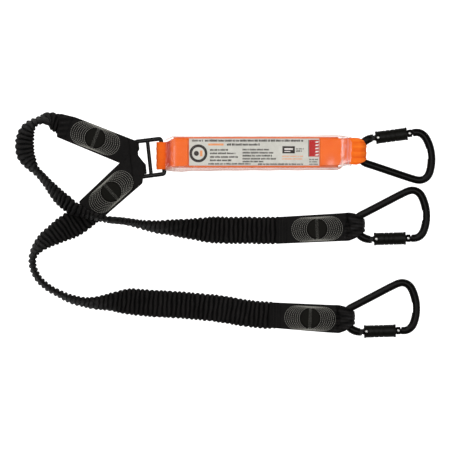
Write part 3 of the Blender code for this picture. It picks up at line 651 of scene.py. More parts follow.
def smooth_outline(corners, radius, keep_sharp=()):
    """Plan outline in the frame from sheet corners rounded off by radius sheet units."""
    corners = np.array(corners, float)
    points = []
    for i, corner in enumerate(corners):
        before, after = corners[i - 1], corners[(i + 1) % len(corners)]
        if i in keep_sharp:
            points.append(corner)
            continue
        cut = min(radius, np.linalg.norm(before - corner) * 0.45,
                  np.linalg.norm(after - corner) * 0.45)
        points += rounded_corner(before, corner, after, cut, cut, 7)
    return np.array([place(x, y)[:2] for x, y in points])


def fold_profile(length, thick, flat_gap, eye_gap, reach, flat_end, eye_start):
    """Centre line of a folded strap seen edge-on, in mm: distance from the bar, and height.
    flat_gap and eye_gap are the strap's inside heights from the mid-plane, away from the bar
    and at it; between flat_end and eye_start it passes from one to the other."""
    eye, flat = eye_gap + thick / 2, flat_gap + thick / 2
    turn_centre = reach - eye_gap
    upper = [(-length, flat), (-length * 0.66, flat), (-length * 0.33 + flat_end * 0.5, flat),
             (flat_end, flat), ((flat_end + eye_start) / 2, (flat + eye) / 2 + 0.1),
             (eye_start, eye), (turn_centre * 0.5 + eye_start * 0.5, eye + 0.02)]
    turn = [(turn_centre + eye * math.cos(a), eye * math.sin(a))
            for a in np.linspace(math.pi / 2, -math.pi / 2, 15)]
    lower = [(s, -z) for s, z in reversed(upper)]
    return catmull(upper + turn + lower, step=1.1)[0]


MIN_STRAP_WIDTH = 1.2       # mm; narrower rows at an outline's tip are left out


def folded_strap(name, profile, thick, bar_point, along, outline, look, relief, weave_dir, cols):
    """A strap folded round a bar: its edge-on profile spread across the plan outline.
    relief(x, y, s, upper) gives a surface offset in mm and a tone of painted shade and painted
    highlight."""
    origin = np.array(bar_point[:2], float)
    along = unit(along)
    across_dir = np.array([-along[1], along[0]])
    half_thick = thick / 2
    rows, painted_light_tones, facing_up = [], [], []
    for (s, z), tangent in zip(profile, unit(np.gradient(profile, axis=0))):
        span = outline_span(outline, origin + along * s * MM, across_dir)
        if span is None or span[1] - span[0] < MIN_STRAP_WIDTH * MM:
            continue
        lo, hi = span[0] / MM, span[1] / MM
        edge = min(half_thick, (hi - lo) / 2 * 0.9)
        across, through = strap_section((lo + hi) / 2, (hi - lo) / 2 - edge, edge,
                                        half_thick, cols)
        normal = np.array([-tangent[1], tangent[0]])
        plan = origin + (along * (s + normal[0] * through)[:, None]
                         + across_dir * across[:, None]) * MM
        row = np.column_stack([plan, MID_Z + (z + normal[1] * through) * MM])
        offset, crease = relief(*sheet_xy(row), s, row[:, 2] > MID_Z)
        offset = offset * MM
        sign = np.sign(normal[1] if abs(normal[1]) > 1e-6 else 1)
        row[:, 2] += offset * (abs(normal[1]) ** 0.5) * sign
        row[:, :2] += (offset * normal[0])[:, None] * along
        rows.append(row)
        painted_light_tones.append(np.broadcast_to(crease, len(row)))
        facing_up.append(abs(normal[1]) > 0.5)
    grid = np.array(rows)
    verts, faces, _ = tube_grid(grid)
    # weave coordinates: by plan position, but by distance on the strap where it turns
    weave_dir = unit(weave_dir)
    weave_side = np.array([-weave_dir[1], weave_dir[0]])
    count = grid.shape[1]
    progress = running_length(grid.mean(1))
    us = verts[:, :2] @ weave_side
    vs = np.where(np.repeat(facing_up, count), verts[:, :2] @ weave_dir,
                  np.repeat(progress, count))
    uvs = [(us[k], vs[k]) for face in faces for k in face]
    ob = add_object(name, verts, faces, MAT[look], uvs)
    # the crease attribute holds the painted shade and painted highlight
    point_attribute(ob, "crease", np.array(painted_light_tones))
    return fix_normals(ob)


TAB_THICK, LOOP_THICK, TAB_GAP = 2.5, 2.6, 2.6      # mm

# Corners of the connector bracket, in sheet units: upper and lower are +Y and -Y.
BRACKET = {"upper_left": (134.8, 141.8), "upper_right": (160.8, 138.6),
           "lower_right": (164.6, 173.8), "lower_left": (138.6, 177.2)}
left_top, left_foot = place(*BRACKET["upper_left"]), place(*BRACKET["lower_left"])
left_bar_dir = unit((left_top - left_foot)[:2])
left_bar_out = np.array([left_bar_dir[1], -left_bar_dir[0]])
left_bar_mid = (left_top + left_foot) / 2
LEG_A_DIR = unit((place(130.0, 152.2) - place(61.0, 125.7))[:2])
LEG_B_DIR = unit((place(137.0, 168.5) - place(88.0, 213.0))[:2])


def relief_bracket_a(x, y, s, upper):
    """Creases where the tab is pulled in to the ruched leg, and a slack ripple. Its tone is
    painted shade and painted highlight on the creases, and painted shade in the groove near the
    leg.
    """
    run = (x - 61.0) * 0.934 + (y - 125.7) * 0.358
    across = -(x - 61.0) * 0.358 + (y - 125.7) * 0.934
    near = np.clip(1 - (run - 1) / 14.0, 0, 1) ** 1.5
    gated = np.clip(near * 3, 0, 1)
    crease = (1 - 2 * np.abs((across * 0.16 + run * 0.075) % 1.0 - 0.5)) ** 1.5
    fold = near * (1.5 * crease - 0.5 + 0.35 * np.sin(across * 1.9 - run * 0.5))
    slack = 0.55 * hump(run, 71, 3.0) * np.sin(across * 0.5) - 0.30 * hump(run, 66.5, 0.7)
    # painted shade and painted highlight on the creases, painted shade in the groove
    tone = near * (0.7 * crease - 0.35) - 0.25 * hump(run, 8.2, 0.7) * gated
    return fold - 0.5 * hump(run, 8.2, 0.8) * gated + slack, tone


def relief_bracket_b(x, y, s, upper):
    """A shallow ripple at the leg and a slack one towards the bracket; no crease tone."""
    run = (x - 88.0) * 0.740 - (y - 213.0) * 0.672
    across = (x - 88.0) * 0.672 + (y - 213.0) * 0.740
    near = np.clip(1 - (run + 1) / 9.0, 0, 1) ** 1.5
    slack = 0.5 * hump(run, 61, 3.5) * np.sin(across * 0.55) - 0.35 * hump(run, 53.5, 0.7)
    return near * (0.55 * np.sin(across * 1.1)) + slack, 0.0


def relief_end(bar_x, mid_y, free_x):
    """Gathers that run in to the karabiner eye, and the doubled hem at the free end, with painted
    shade in their valleys and folds and painted highlight on their crests.
    """
    base_x = bar_x - 13.0

    def eye(x, y, s):
        near = np.clip((x - base_x) / 9.0, 0, 1) ** 1.3
        across = y - mid_y
        fade = 1 - 0.45 * hump(s, 14.0, 3.0)
        # each gather has a sharp valley
        broad = np.abs(np.sin(across * 0.42 + 0.5 + 0.13 * (x - bar_x) * np.sign(across + 2)))
        fine = np.abs(np.sin(across * 0.95 - 0.10 * (x - bar_x) + 1.1))
        broad, fine = broad ** 0.6, fine ** 0.8
        cross = (hump(x + 0.35 * across, base_x + 4.5, 0.8)
                 + 0.7 * hump(x - 0.25 * across, base_x + 8.0, 0.7))
        offset = near * fade * (2.1 * broad + 0.9 * fine - 1.7)
        offset = offset - 0.55 * cross * np.clip(near * 4, 0, 1)
        # painted shade in the gathers' valleys and cross folds, painted highlight on their crests
        tone = np.clip(near * 3, 0, 1) * (0.55 * (broad - 0.72) + 0.40 * (fine - 0.62)
                                          - 0.35 * cross)
        return offset, np.clip(tone, -0.5, 0.45)

    def relief(x, y, s, upper):
        hem = x - free_x
        step = (0.5 * (1 / (1 + np.exp((hem - 9.6) * 4.0))) - 0.45 * hump(hem, 10.4, 0.55)
                - 0.35 * hump(hem, 4.2, 0.5) - 0.25 * hump(x, bar_x - 15.5, 0.6))
        folds = hump(hem, 1.6, 0.5) + hump(hem, 4.4, 0.45) + 0.8 * hump(hem, 7.4, 0.5)
        offset, tone = eye(x, y, s)
        # painted shade at the hem's folds and step, with light and dark painted bands
        hem_shade_and_highlight = (0.13 * np.sin(hem * 2.1) * np.clip((10 - hem) / 3, 0, 1)
                    - 0.25 * folds - 0.2 * hump(hem, 10.4, 0.5))
        return offset + (step - 0.35 * folds) * upper, tone + upper * hem_shade_and_highlight

    return relief


def relief_harness_loop(x, y, s, upper):
    """Gathers at the harness karabiner, with painted shade and painted highlight on them and a
    band of painted shade across the strap at the cover's neck.
    """
    near = np.clip((x - 348.0) / 8.0, 0, 1)
    across = y - 152.0
    gather = np.sin(across * 0.9 + 0.3) + 0.5 * np.sin(across * 2.1)
    tone = 0.10 * np.clip((x - 351.0) / 3.0, 0, 1) * gather - 0.22 * hump(x, 347.5, 2.2)
    return near * 0.34 * gather * (1 - 0.4 * hump(s, 13, 3)), tone


def relief_bracket_loop(x, y, s, upper):
    """Light gathers at the bracket and a dip across the strap, with painted shade in the dip and
    towards the bracket.
    """
    near = np.clip((176.0 - x) / 8.0, 0, 1)
    across = y - 155.0
    dip = hump(x, 168.3, 2.6)
    gather = 0.22 * np.sin(across * 0.8) + 0.12 * np.sin(across * 1.9 + 1)
    return near * gather - 0.9 * dip, -0.42 * dip - 0.10 * near


# Plan corners of the straps, in sheet units.
BRACKET_TAB_A = [(60.0, 113.4), (75.7, 117.2), (133.8, 139.9), (137.4, 141.4), (141.8, 142.4),
                 (141.2, 145.0), (138.4, 150.6), (136.6, 154.4), (120.5, 163.5), (56.4, 136.9),
                 (58.2, 124.5)]
BRACKET_TAB_B = [(78.5, 201.9), (119.9, 162.6), (136.8, 153.4), (147.2, 166.8), (149.4, 173.2),
                 (143.6, 174.4), (143.0, 176.4), (142.8, 183.2), (138.6, 186.8), (97.2, 222.8)]
END_TAB_A = [(276.2, 217.0), (340.0, 213.2), (349.5, 212.4), (355.0, 213.4), (359.5, 215.6),
             (363.0, 218.2), (370.0, 219.0), (370.0, 231.2), (363.2, 232.0), (360.5, 234.6),
             (355.5, 238.4), (349.0, 240.9), (338.0, 241.3), (276.2, 243.9)]
END_TAB_B = [(270.0, 302.2), (330.0, 304.8), (339.5, 305.0), (345.0, 306.4), (349.5, 308.4),
             (353.0, 310.8), (360.0, 311.6), (360.0, 323.8), (353.2, 324.6), (350.4, 327.2),
             (345.5, 331.0), (339.0, 333.2), (328.0, 332.6), (270.0, 327.8)]
HARNESS_LOOP = [(319.8, 138.1), (343.0, 138.2), (349.0, 137.9), (356.0, 137.6), (360.6, 138.5),
                (363.6, 140.6), (365.6, 143.8), (372, 146.0), (372, 158.6), (366.0, 159.6),
                (364.0, 161.6), (361.0, 163.4), (356.5, 164.9), (350.0, 164.2), (343.5, 164.2),
                (338.0, 165.4), (319.8, 165.9)]
BRACKET_LOOP = [(150, 142.0), (167, 142.0), (173, 138.4), (188.4, 138.1), (188.4, 165.9),
                (173, 167.2), (167, 169.2), (150, 170.0)]


def bracket_tab(leg, outline, eye_gap, reach, relief, weave_dir):
    profile = fold_profile(length=140, thick=TAB_THICK, flat_gap=TAB_GAP, eye_gap=eye_gap,
                           reach=reach, flat_end=-12.0, eye_start=-5.0)
    ob = folded_strap(leg + "_bracket_webbing", profile, TAB_THICK, left_bar_mid, left_bar_out,
                      outline, "webbing", relief, weave_dir, cols=25)
    show(ob, leg + "_root", "leg_webbing", leg + "_bracket_tab")


def end_tab(leg, bar_x, bar_y, corners):
    profile = fold_profile(length=130, thick=TAB_THICK, flat_gap=TAB_GAP, eye_gap=9.45,
                           reach=13.0, flat_end=-13.5, eye_start=-5.0)
    ob = folded_strap(leg + "_end_webbing", profile, TAB_THICK, place(bar_x, bar_y), (1, 0),
                      smooth_outline(corners, radius=1.6), "webbing",
                      relief_end(bar_x, bar_y, free_x=corners[0][0]), (1, 0), cols=45)
    show(ob, leg + "_end", "leg_webbing", leg + "_end_tab")


# the sharp corner of leg A's tab is the one at its lowest x
bracket_tab("leg_a", smooth_outline(BRACKET_TAB_A, radius=1.6, keep_sharp=(9,)),
            eye_gap=3.0, reach=3.15, relief=relief_bracket_a, weave_dir=LEG_A_DIR)
bracket_tab("leg_b", smooth_outline(BRACKET_TAB_B, radius=1.8),
            eye_gap=3.3, reach=10.0, relief=relief_bracket_b, weave_dir=LEG_B_DIR)
end_tab("leg_a", 354.1, 225.0, END_TAB_A)
end_tab("leg_b", 344.1, 317.5, END_TAB_B)

# ---------------------------------------------------------------- stitching on the tabs
TAB_TOP = MID_Z + (TAB_GAP + TAB_THICK) * MM
STITCH_ROWS = 8
STITCH_STEP = 0.68                          # mm between points; a stitch spans four of them
DISC_RADIUS = 14.9                          # mm
OVAL_HALF_LENGTH, OVAL_HALF_WIDTH = 36.8, 17.3      # mm, outermost row
TACK_POINTS = 46
stitch_random = np.random.RandomState(2)


def stitch_oval(half_length, half_width):
    """Two half circles joined by straight sides, as evenly spaced points in mm."""
    turn = np.linspace(-np.pi / 2, np.pi / 2, 61)
    right = np.column_stack([(half_length - half_width) + half_width * np.cos(turn),
                             half_width * np.sin(turn)])
    closed = np.vstack([right, -right, right[:1]])
    dist = running_length(closed)
    count = max(8, int(round(dist[-1] / STITCH_STEP)))
    return resample(closed, dist, np.linspace(0, dist[-1], count, endpoint=False))


def stitches(leg, part, body, centre, direction):
    """Lock stitches in ovals round a plain disc, and a bar tack across it."""
    along = unit(direction)
    across = np.array([-along[1], along[0]])
    middle = place(*centre)[:2]

    def on_tab(points, height):
        plan = middle + (points[:, :1] * along + points[:, 1:] * across) * MM
        return np.column_stack([plan, TAB_TOP + np.asarray(height) * MM])

    thread = []
    for k in range(STITCH_ROWS):
        f = k / (STITCH_ROWS - 1)
        inner_width, inner_length = DISC_RADIUS + 0.45, DISC_RADIUS + 0.9
        ring = stitch_oval(inner_length + (OVAL_HALF_LENGTH - inner_length) * f,
                           inner_width + (OVAL_HALF_WIDTH - inner_width) * f)
        ring = np.roll(ring, int(stitch_random.randint(0, 5)), axis=0)
        for i in range(0, len(ring) - 4, 4):
            thread.append(bar_along(on_tab(ring[i:i + 4], [-0.05, 0.26, 0.26, -0.05]),
                                    np.array([0.20, 0.34, 0.34, 0.20]) * MM, 6))
    # the disc stands a little proud between the rows
    turn = np.linspace(0, 2 * np.pi, 48, endpoint=False)
    rings = []
    for q in np.linspace(0.0, 1.0, 9)[::-1]:
        x, y = (DISC_RADIUS * 0.975 * q * wave for wave in (np.cos(turn), np.sin(turn)))
        dome = 0.02 + 0.45 * (1 - q ** 4) + 0.03 * np.sin(y * 2.4)
        rings.append(on_tab(np.column_stack([x, y]), dome))
    # bar tack: close zig-zag lines across the strap
    tack = []
    y = np.linspace(-DISC_RADIUS * 0.97, DISC_RADIUS * 0.97, TACK_POINTS)
    for offset, half_width in ((0.0, 2.4), (0.33, 2.2)):
        x = np.where(np.arange(TACK_POINTS) % 2 == 0, -half_width, half_width)
        height = 0.62 - 0.40 * (np.abs(y) / DISC_RADIUS) ** 4
        tack.append(bar_along(on_tab(np.column_stack([x, y + offset]), height), 0.34 * MM, 6))
    parts = [merge(thread), merge(tack), tube_grid(np.array(rings))[:2]]
    mat_index = [i for i, (_, faces) in enumerate(parts) for _ in faces]
    ob = solid(f"{leg}_{part}_stitches", *merge(parts),
               [MAT["thread"], MAT["tack"], MAT["disc"]], mat_index=mat_index)
    show(ob, f"{leg}_{body}", "thread", f"{leg}_{part}_stitching")


stitches("leg_a", "bracket", "root", (95.2, 138.2), LEG_A_DIR)
stitches("leg_b", "bracket", "root", (111.1, 191.8), LEG_B_DIR)
stitches("leg_a", "end", "end", (317.1, 229.0), (place(350, 227.0) - place(280, 230.5))[:2])
stitches("leg_b", "end", "end", (310.1, 318.3), (place(345, 319.3) - place(275, 315.5))[:2])

# ---------------------------------------------------------------- absorber webbing
profile = fold_profile(length=56.5, thick=LOOP_THICK, flat_gap=7.35, eye_gap=9.45, reach=8.9,
                       flat_end=-14.5, eye_start=-6.5)
loop = folded_strap("harness_loop_webbing", profile, LOOP_THICK, place(358.5, 152.0), (1, 0),
                    smooth_outline(HARNESS_LOOP, radius=1.4), "orange", relief_harness_loop,
                    (1, 0), cols=33)
show(loop, "absorber", "absorber_webbing", "harness_loop")
profile = fold_profile(length=37.5, thick=LOOP_THICK, flat_gap=7.35, eye_gap=3.7, reach=6.6,
                       flat_end=-13.0, eye_start=-5.0)
loop = folded_strap("bracket_loop_webbing", profile, LOOP_THICK, place(162.6, 155.5), (-1, 0),
                    smooth_outline(BRACKET_LOOP, radius=2.0), "orange", relief_bracket_loop,
                    (1, 0), cols=29)
show(loop, "absorber", "absorber_webbing", "bracket_loop")

TEAR_LAYERS = 5
TEAR_HALF_STACK = 7.0           # mm
TEAR_ENDS = (175.4, 336.6)      # sheet x


def tear_webbing():
    """One strap folded to and fro in layers along X."""
    pitch = (2 * TEAR_HALF_STACK - LOOP_THICK) / (TEAR_LAYERS - 1)
    x_lo, x_hi = (place(x, 0)[0] / MM for x in TEAR_ENDS)
    line = []
    for i in range(TEAR_LAYERS):
        z = -TEAR_HALF_STACK + LOOP_THICK / 2 + i * pitch
        start, end = (x_lo, x_hi) if i % 2 == 0 else (x_hi, x_lo)
        for q in np.linspace(0, 1, 60):
            x = start + (end - start) * q
            line.append((x, z + 0.08 * math.sin(x * 0.09 + i)))
        if i < TEAR_LAYERS - 1:
            outward = 1 if end == x_hi else -1
            for k in range(1, 8):
                turn = math.pi * k / 8
                line.append((end + outward * pitch / 2 * math.sin(turn),
                             z + pitch / 2 * (1 - math.cos(turn))))
    line = np.array(line)
    tangent = unit(np.gradient(line, axis=0))
    lo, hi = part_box("tear_webbing")
    half_thick = LOOP_THICK / 2 - 0.1
    half_width = (hi.y - lo.y) / 2 / MM + 2.1
    mid_y = (hi.y + lo.y) / 2 / MM - 0.5
    across, through = strap_section(0.0, half_width - half_thick, half_thick, half_thick, 21)
    grid = np.zeros((len(line), len(across), 3))
    grid[..., 0] = (line[:, :1] - tangent[:, 1:] * through) * MM
    grid[..., 1] = (mid_y + across) * MM
    grid[..., 2] = MID_Z + (line[:, 1:] + tangent[:, :1] * through) * MM
    us = np.concatenate([across, across[:1]]) * MM
    verts, faces, uvs = tube_grid(grid, (us, running_length(line) * MM))
    ob = solid("tear_webbing_folds", verts, faces, MAT["orange"], uvs)
    show(ob, "absorber", "absorber_webbing", "tear_webbing")


tear_webbing()

# ---------------------------------------------------------------- label
LABEL_LO, LABEL_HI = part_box("label")
LABEL_THICK = 0.45 * MM


def label_z(x, y):
    """Height of the gently waved label sheet, in metres."""
    return LABEL_HI.z + 0.072 * MM * np.sin(x * 70 + y * 40) - 0.05 * MM


def label_sheet():
    nx, ny = 60, 14
    xs, ys = np.meshgrid(np.linspace(LABEL_LO.x, LABEL_HI.x, nx),
                         np.linspace(LABEL_LO.y, LABEL_HI.y, ny), indexing="ij")
    top = np.stack([xs, ys, label_z(xs, ys)], -1).reshape(-1, 3)
    bottom = top - np.array([0, 0, LABEL_THICK])
    under = nx * ny
    faces = []
    for i in range(nx - 1):
        for j in range(ny - 1):
            a = i * ny + j
            faces.append([a, a + ny, a + ny + 1, a + 1])
            faces.append([a + 1 + under, a + ny + 1 + under, a + ny + under, a + under])
    rim = ([i * ny for i in range(nx)] + [(nx - 1) * ny + j for j in range(1, ny)]
           + [i * ny + ny - 1 for i in range(nx - 2, -1, -1)] + list(range(ny - 2, 0, -1)))
    for a, b in zip(rim, rim[1:] + rim[:1]):
        faces.append([a + under, b + under, b, a])
    ob = solid("label_sheet", np.vstack([top, bottom]), faces, MAT["label"], smooth=False)
    show(ob, "absorber", "label_film", "label")


label_sheet()

# Marks in drawing order: ink, kind, x from, x to, mid y, height, in sheet units.
MARKS = [
    ("grey", "words", 192.0, 204.0, 140.6, 1.9), ("dark", "words", 205.0, 304.0, 140.6, 2.1),
    ("orange", "bar", 208.2, 223.6, 144.5, 2.0), ("dark", "words", 227.0, 260.0, 144.5, 2.2),
    ("dark", "words", 210.0, 228.6, 149.9, 1.75), ("dark", "words", 210.0, 236.0, 153.3, 1.75),
    ("dark", "words", 210.0, 238.8, 156.9, 1.75), ("dark", "words", 210.0, 231.8, 160.3, 1.75),
    ("dark", "words", 208.4, 251.0, 163.8, 1.6), ("dark", "words", 242.6, 269.0, 149.6, 1.7),
    ("dark", "words", 242.6, 275.0, 152.7, 1.7), ("dark", "words", 242.6, 272.3, 155.7, 1.7),
    ("dark", "words", 242.6, 276.0, 158.7, 1.7), ("dark", "words", 242.6, 263.5, 161.5, 1.7),
    ("dark", "words", 258.0, 303.0, 164.1, 1.5), ("dark", "block", 282.4, 294.9, 149.8, 7.2),
    ("white", "bar", 284.4, 292.9, 149.0, 1.5), ("white", "bar", 284.4, 290.4, 151.4, 0.8),
    ("dark", "words", 296.0, 304.0, 148.8, 1.3), ("dark", "words", 296.0, 303.0, 151.0, 1.4),
    ("orange", "words", 282.0, 303.0, 156.2, 1.2), ("orange", "words", 282.0, 303.0, 158.9, 1.2),
    ("red", "block", 309.2, 318.9, 148.2, 16.8), ("dark", "bar", 308.4, 309.1, 148.2, 16.8),
    ("dark", "words", 309.4, 318.4, 159.5, 1.25), ("dark", "words", 309.4, 318.4, 161.8, 1.25),
    ("dark", "words", 309.4, 318.4, 164.1, 1.25)]
INKS = {"dark": "ink", "grey": "ink_soft", "red": "ink_red", "orange": "ink_orange",
        "white": "ink_white"}
print_random = np.random.RandomState(5)


def patch(points, lift):
    """A plan outline laid on the label, thin but real; lift in mm."""
    plan = [(*place(x, y)[:2],) for x, y in points]
    return two_rims([(x, y, float(label_z(x, y)) + (lift + 0.03) * MM) for x, y in plan],
                    [(x, y, float(label_z(x, y)) - 0.02 * MM) for x, y in plan])


def block(x_from, x_to, y, height, lift, slant=0.0):
    low, high = y + height / 2, y - height / 2
    return [patch([(x_from, low), (x_to, low), (x_to + slant, high), (x_from + slant, high)],
                  lift)]


def long_bar(x_from, x_to, y, height, lift, slant=0.0):
    """A bar split so that it follows the sheet."""
    xs = np.linspace(x_from, x_to, max(1, int((x_to - x_from) / 4.0)) + 1)
    return [part for a, b in zip(xs, xs[1:]) for part in block(a, b, y, height, lift, slant)]


def words(x_from, x_to, y, height, lift):
    """A line of plain blocks in groups of different lengths, standing for print."""
    parts, x = [], x_from
    letter = 0.42 + 0.36 * height
    while x < x_to - letter:
        for _ in range(int(print_random.randint(2, 8))):
            width = letter * (0.65 + 0.5 * print_random.rand())
            if x + width > x_to:
                break
            tall = height * (0.80 + 0.25 * print_random.rand())
            parts += block(x, x + width, y + (height - tall) / 2, tall, lift)
            x += width + 0.26
        x += 0.62
    return parts


def label_print():
    ink_lift, white_lift = 0.05, 0.09       # mm
    kinds = {"words": words, "bar": long_bar, "block": block}
    parts = {ink: [] for ink in INKS}
    for ink, kind, *where in MARKS:
        parts[ink] += kinds[kind](*where, white_lift if ink == "white" else ink_lift)
    for k in range(5):                      # slanted stripes on the red panel
        parts["white"] += long_bar(315.0, 318.0, 142.0 + k * 3.2, 1.45, white_lift, slant=0.9)
    # a plain ring with a dot and a bar
    turn = np.linspace(0, 2 * np.pi, 37)
    centre_x, centre_y, outer, inner = 198.4, 153.4, 9.0, 6.3

    def polar(radius, angle, shift=0.0):
        return (centre_x + shift + radius * math.cos(angle),
                centre_y + radius * math.sin(angle))

    for a, b in zip(turn, turn[1:]):
        parts["dark"].append(patch([polar(inner, a), polar(inner, b), polar(outer, b),
                                    polar(outer, a)], ink_lift))
    parts["dark"].append(patch([polar(2.5, a, shift=-2.0) for a in turn[:-1]][::-1], ink_lift))
    parts["orange"] += block(centre_x + 1.6, centre_x + 4.1, centre_y, 5.8, ink_lift)
    for ink, look in INKS.items():
        ob = solid("label_print_" + ink, *merge(parts[ink]), MAT[look], smooth=False)
        show(ob, "absorber", "label_film")


label_print()

# ---------------------------------------------------------------- clear cover
# Sheet x against the sheet y of the +Y and -Y edges, and against the half height in mm.
COVER_UPPER = [(165.6, 139.2), (167.6, 138.2), (172.6, 136.2), (200, 136.2), (260, 135.9),
               (320, 135.2), (337, 134.9), (341.5, 135.3), (347, 136.3), (351.6, 136.6)]
COVER_LOWER = [(165.6, 170.6), (167.6, 170.9), (173.4, 171.5), (182, 171.9), (192, 171.2),
               (240, 170.6), (300, 170.4), (337, 170.2), (341.0, 168.6), (343.2, 166.4),
               (347, 165.6), (351.6, 165.9)]
COVER_HEIGHT = [(165.6, 11.0), (168, 11.2), (174, 11.9), (180, 12.1), (330, 12.1), (338, 12.0),
                (344, 11.4), (347, 11.0), (351.6, 11.3)]


def ease(start, end, value):
    t = np.clip((value - start) / (end - start), 0, 1)
    return t * t * (3 - 2 * t)


def cover_tones(x, y):
    """Haze of the film at sheet positions, partly milky film and partly painted shade and painted
    highlight, and its painted glow of the webbing's colour.
    """
    low = ease(165.9, 167.2, y) * (1 - ease(340.5, 343, x))
    high = 1 - ease(137.0, 138.3, y)
    neck_right, neck_left = ease(339.8, 341.4, x), 1 - ease(170.6, 172.4, x)
    streak = 0.5 + 0.5 * np.sin(x * 2.1 + 1.3 * np.sin(y * 0.33 + 0.6))
    # the bands along both edges and at the necks are milky film with painted shade; the neck
    # streaks and the patches round x 331 and x 340.6 are painted highlights
    haze = (0.010 + 0.40 * low + 0.22 * high
            + neck_right * (0.02 + 0.15 * streak + 0.28 * ease(158, 163, y)
                            + 0.26 * hump(x, 342.8, 0.9))
            + neck_left * (0.01 + 0.05 * streak + 0.16 * (1 - ease(139.5, 143.0, y))
                           + 0.16 * ease(163, 167, y))
            + 0.13 * hump(x, 331.0, 4.0) * ease(157, 163, y) + 0.10 * hump(x, 174.0, 1.4)
            + 0.24 * hump(x, 340.6, 2.0) * ease(160, 166, y))
    # painted glow of the webbing's colour in the edge bands and at the left neck
    glow = (np.clip(low + high, 0, 1) * (1 - 0.55 * neck_right)
            * (1 - 0.45 * hump(x, 180, 7)) + 0.55 * neck_left)
    return haze, np.clip(glow, 0, 1)


def clear_cover():
    """Open-ended film tube round the absorber, rippled near both necks."""
    x = np.linspace(165.6, 351.6, 260)[:, None]
    upper, lower, half_height = (np.interp(x, *zip(*table))
                                 for table in (COVER_UPPER, COVER_LOWER, COVER_HEIGHT))
    cx, cy = squircle(96, 0.36, 0.42)
    phase = np.random.RandomState(3).rand(6) * 6.28
    near = np.maximum(0.0, 1 - np.minimum(np.abs(x - 169.0), np.abs(x - 345.0)) / 7.0)
    ripple = (near * 0.55 * np.sin(cx * 6.5 + phase[0] + x * 0.25)
              + 0.10 * np.sin(x * 0.16 + phase[1] + cx * 2.0)
              + near * 0.3 * np.sin(cx * 13 + x * 0.5))
    bulge = 0.10 * np.sin(x * 0.21 + phase[2]) * np.abs(cx)
    y = (upper + lower) / 2 + cx * ((lower - upper) / 2 + bulge)
    height = MID_HEIGHT + cy * (half_height + ripple * (np.abs(cy) > 0.5))
    grid = place(x, y, height)
    grid[..., 2] = np.maximum(grid[..., 2], 0.02 * MM)
    ob = solid("clear_cover_film", *tube_grid(grid, caps=False)[:2], MAT["film"])
    haze, glow = cover_tones(*sheet_xy(grid))
    point_attribute(ob, "haze", haze)
    point_attribute(ob, "glow", glow)
    show(ob, "absorber", "clear_film", "clear_cover")


clear_cover()


# ---------------------------------------------------------------- connector bracket
def connector_bracket():
    """Rounded four-sided ring of round bar with one bar across it."""
    names = ("upper_left", "upper_right", "lower_right", "lower_left")
    corners = np.array([BRACKET[name] for name in names])
    radius = 2.6                            # sheet units
    ring = []
    for i, corner in enumerate(corners):
        after = corners[(i + 1) % 4]
        ring += rounded_corner(corners[i - 1], corner, after, radius, radius, 14)
        start = corner + unit(after - corner) * radius
        end = after + unit(corner - after) * radius
        ring += [start * (1 - t) + end * t for t in np.linspace(0, 1, 14)[1:-1]]
    cross_top, cross_foot = np.array((147.4, 140.4)), np.array((151.2, 175.3))
    cross = [place(*(cross_top + (cross_foot - cross_top) * t)) for t in np.linspace(0, 1, 24)]
    parts = [bar_along([place(x, y) for x, y in ring], 3.1 * MM, 24, closed=True),
             bar_along(cross, 2.75 * MM, 24)]
    ob = solid("connector_bracket_bars", *merge(parts), MAT["bracket"])
    show(ob, "bracket", "bracket_steel", "connector_bracket")


connector_bracket()

# ---------------------------------------------------------------- karabiners
# Each is built with its gate hinge at the origin, the gate along +x, and the bar's loop on
# the +y side. The bar's centre line is in sheet units; all other sizes are in mm.
BAR_PATH = [
    (-6.5, 0), (-9.5, 0.25), (-13.6, 2.0), (-17.2, 4.7), (-20.3, 8.8), (-21.9, 13.0),
    (-21.6, 17.2), (-19.6, 21.0), (-15.9, 23.8), (-7.6, 27.8), (2.4, 32.7), (12.4, 37.6),
    (22.4, 42.5), (28.4, 45.3), (32.8, 47.1), (37.0, 47.8), (41.1, 46.8), (44.6, 44.0),
    (47.0, 39.8), (48.8, 34.4), (50.0, 28.5), (50.3, 22.5), (49.9, 16.4), (48.5, 10.3),
    (46.3, 5.1), (42.9, 1.5), (39.1, 0.0), (34.6, -0.1)]
BAR_RADIUS = 5.5
NOSE_X = 50.0
# (x, y) outlines of the plates joined to the bar
HINGE_TONGUE = [(-12.0, 3.8), (0, 3.8), (2.4, 3.1), (3.6, 2.2), (3.6, -2.2), (2.4, -3.1),
                (0, -3.8), (-12.0, -3.8)]
HINGE_SHOULDER = [(-12.0, 5.4), (-9.2, 5.2), (-8.7, 4.6), (-7.65, 2.0), (-7.1, 0.6),
                  (-6.7, -0.6), (-6.7, -5.0), (-7.2, -5.7), (-12.0, -5.9)]
NOSE_HOOK = [(54, 3.0), (47.8, 3.0), (47.8, -1.5), (44.7, -1.5), (44.7, 0.9), (43.5, 0.9),
             (43.5, -4.0), (54, -4.0)]
# (along, radius) of the gate barrel with its flange and head
GATE_PROFILE = [
    (-4.9, 0.05), (-4.9, 4.4), (-4.5, 5.0), (-3.9, 5.3), (7.2, 5.3), (7.2, 6.3), (7.4, 6.4),
    (8.8, 6.4), (9.0, 6.3), (9.0, 5.3), (43.4, 5.3), (43.4, 5.6), (43.7, 5.9), (48.8, 5.9),
    (49.3, 5.4), (49.3, 0.05)]
SLEEVE_START, SLEEVE_END = -3.8, 42.6
SLEEVE_RADIUS, SLEEVE_BORE = 9.0, 7.0
SLEEVE_GROOVES = (11.2, 17.9, 24.6)
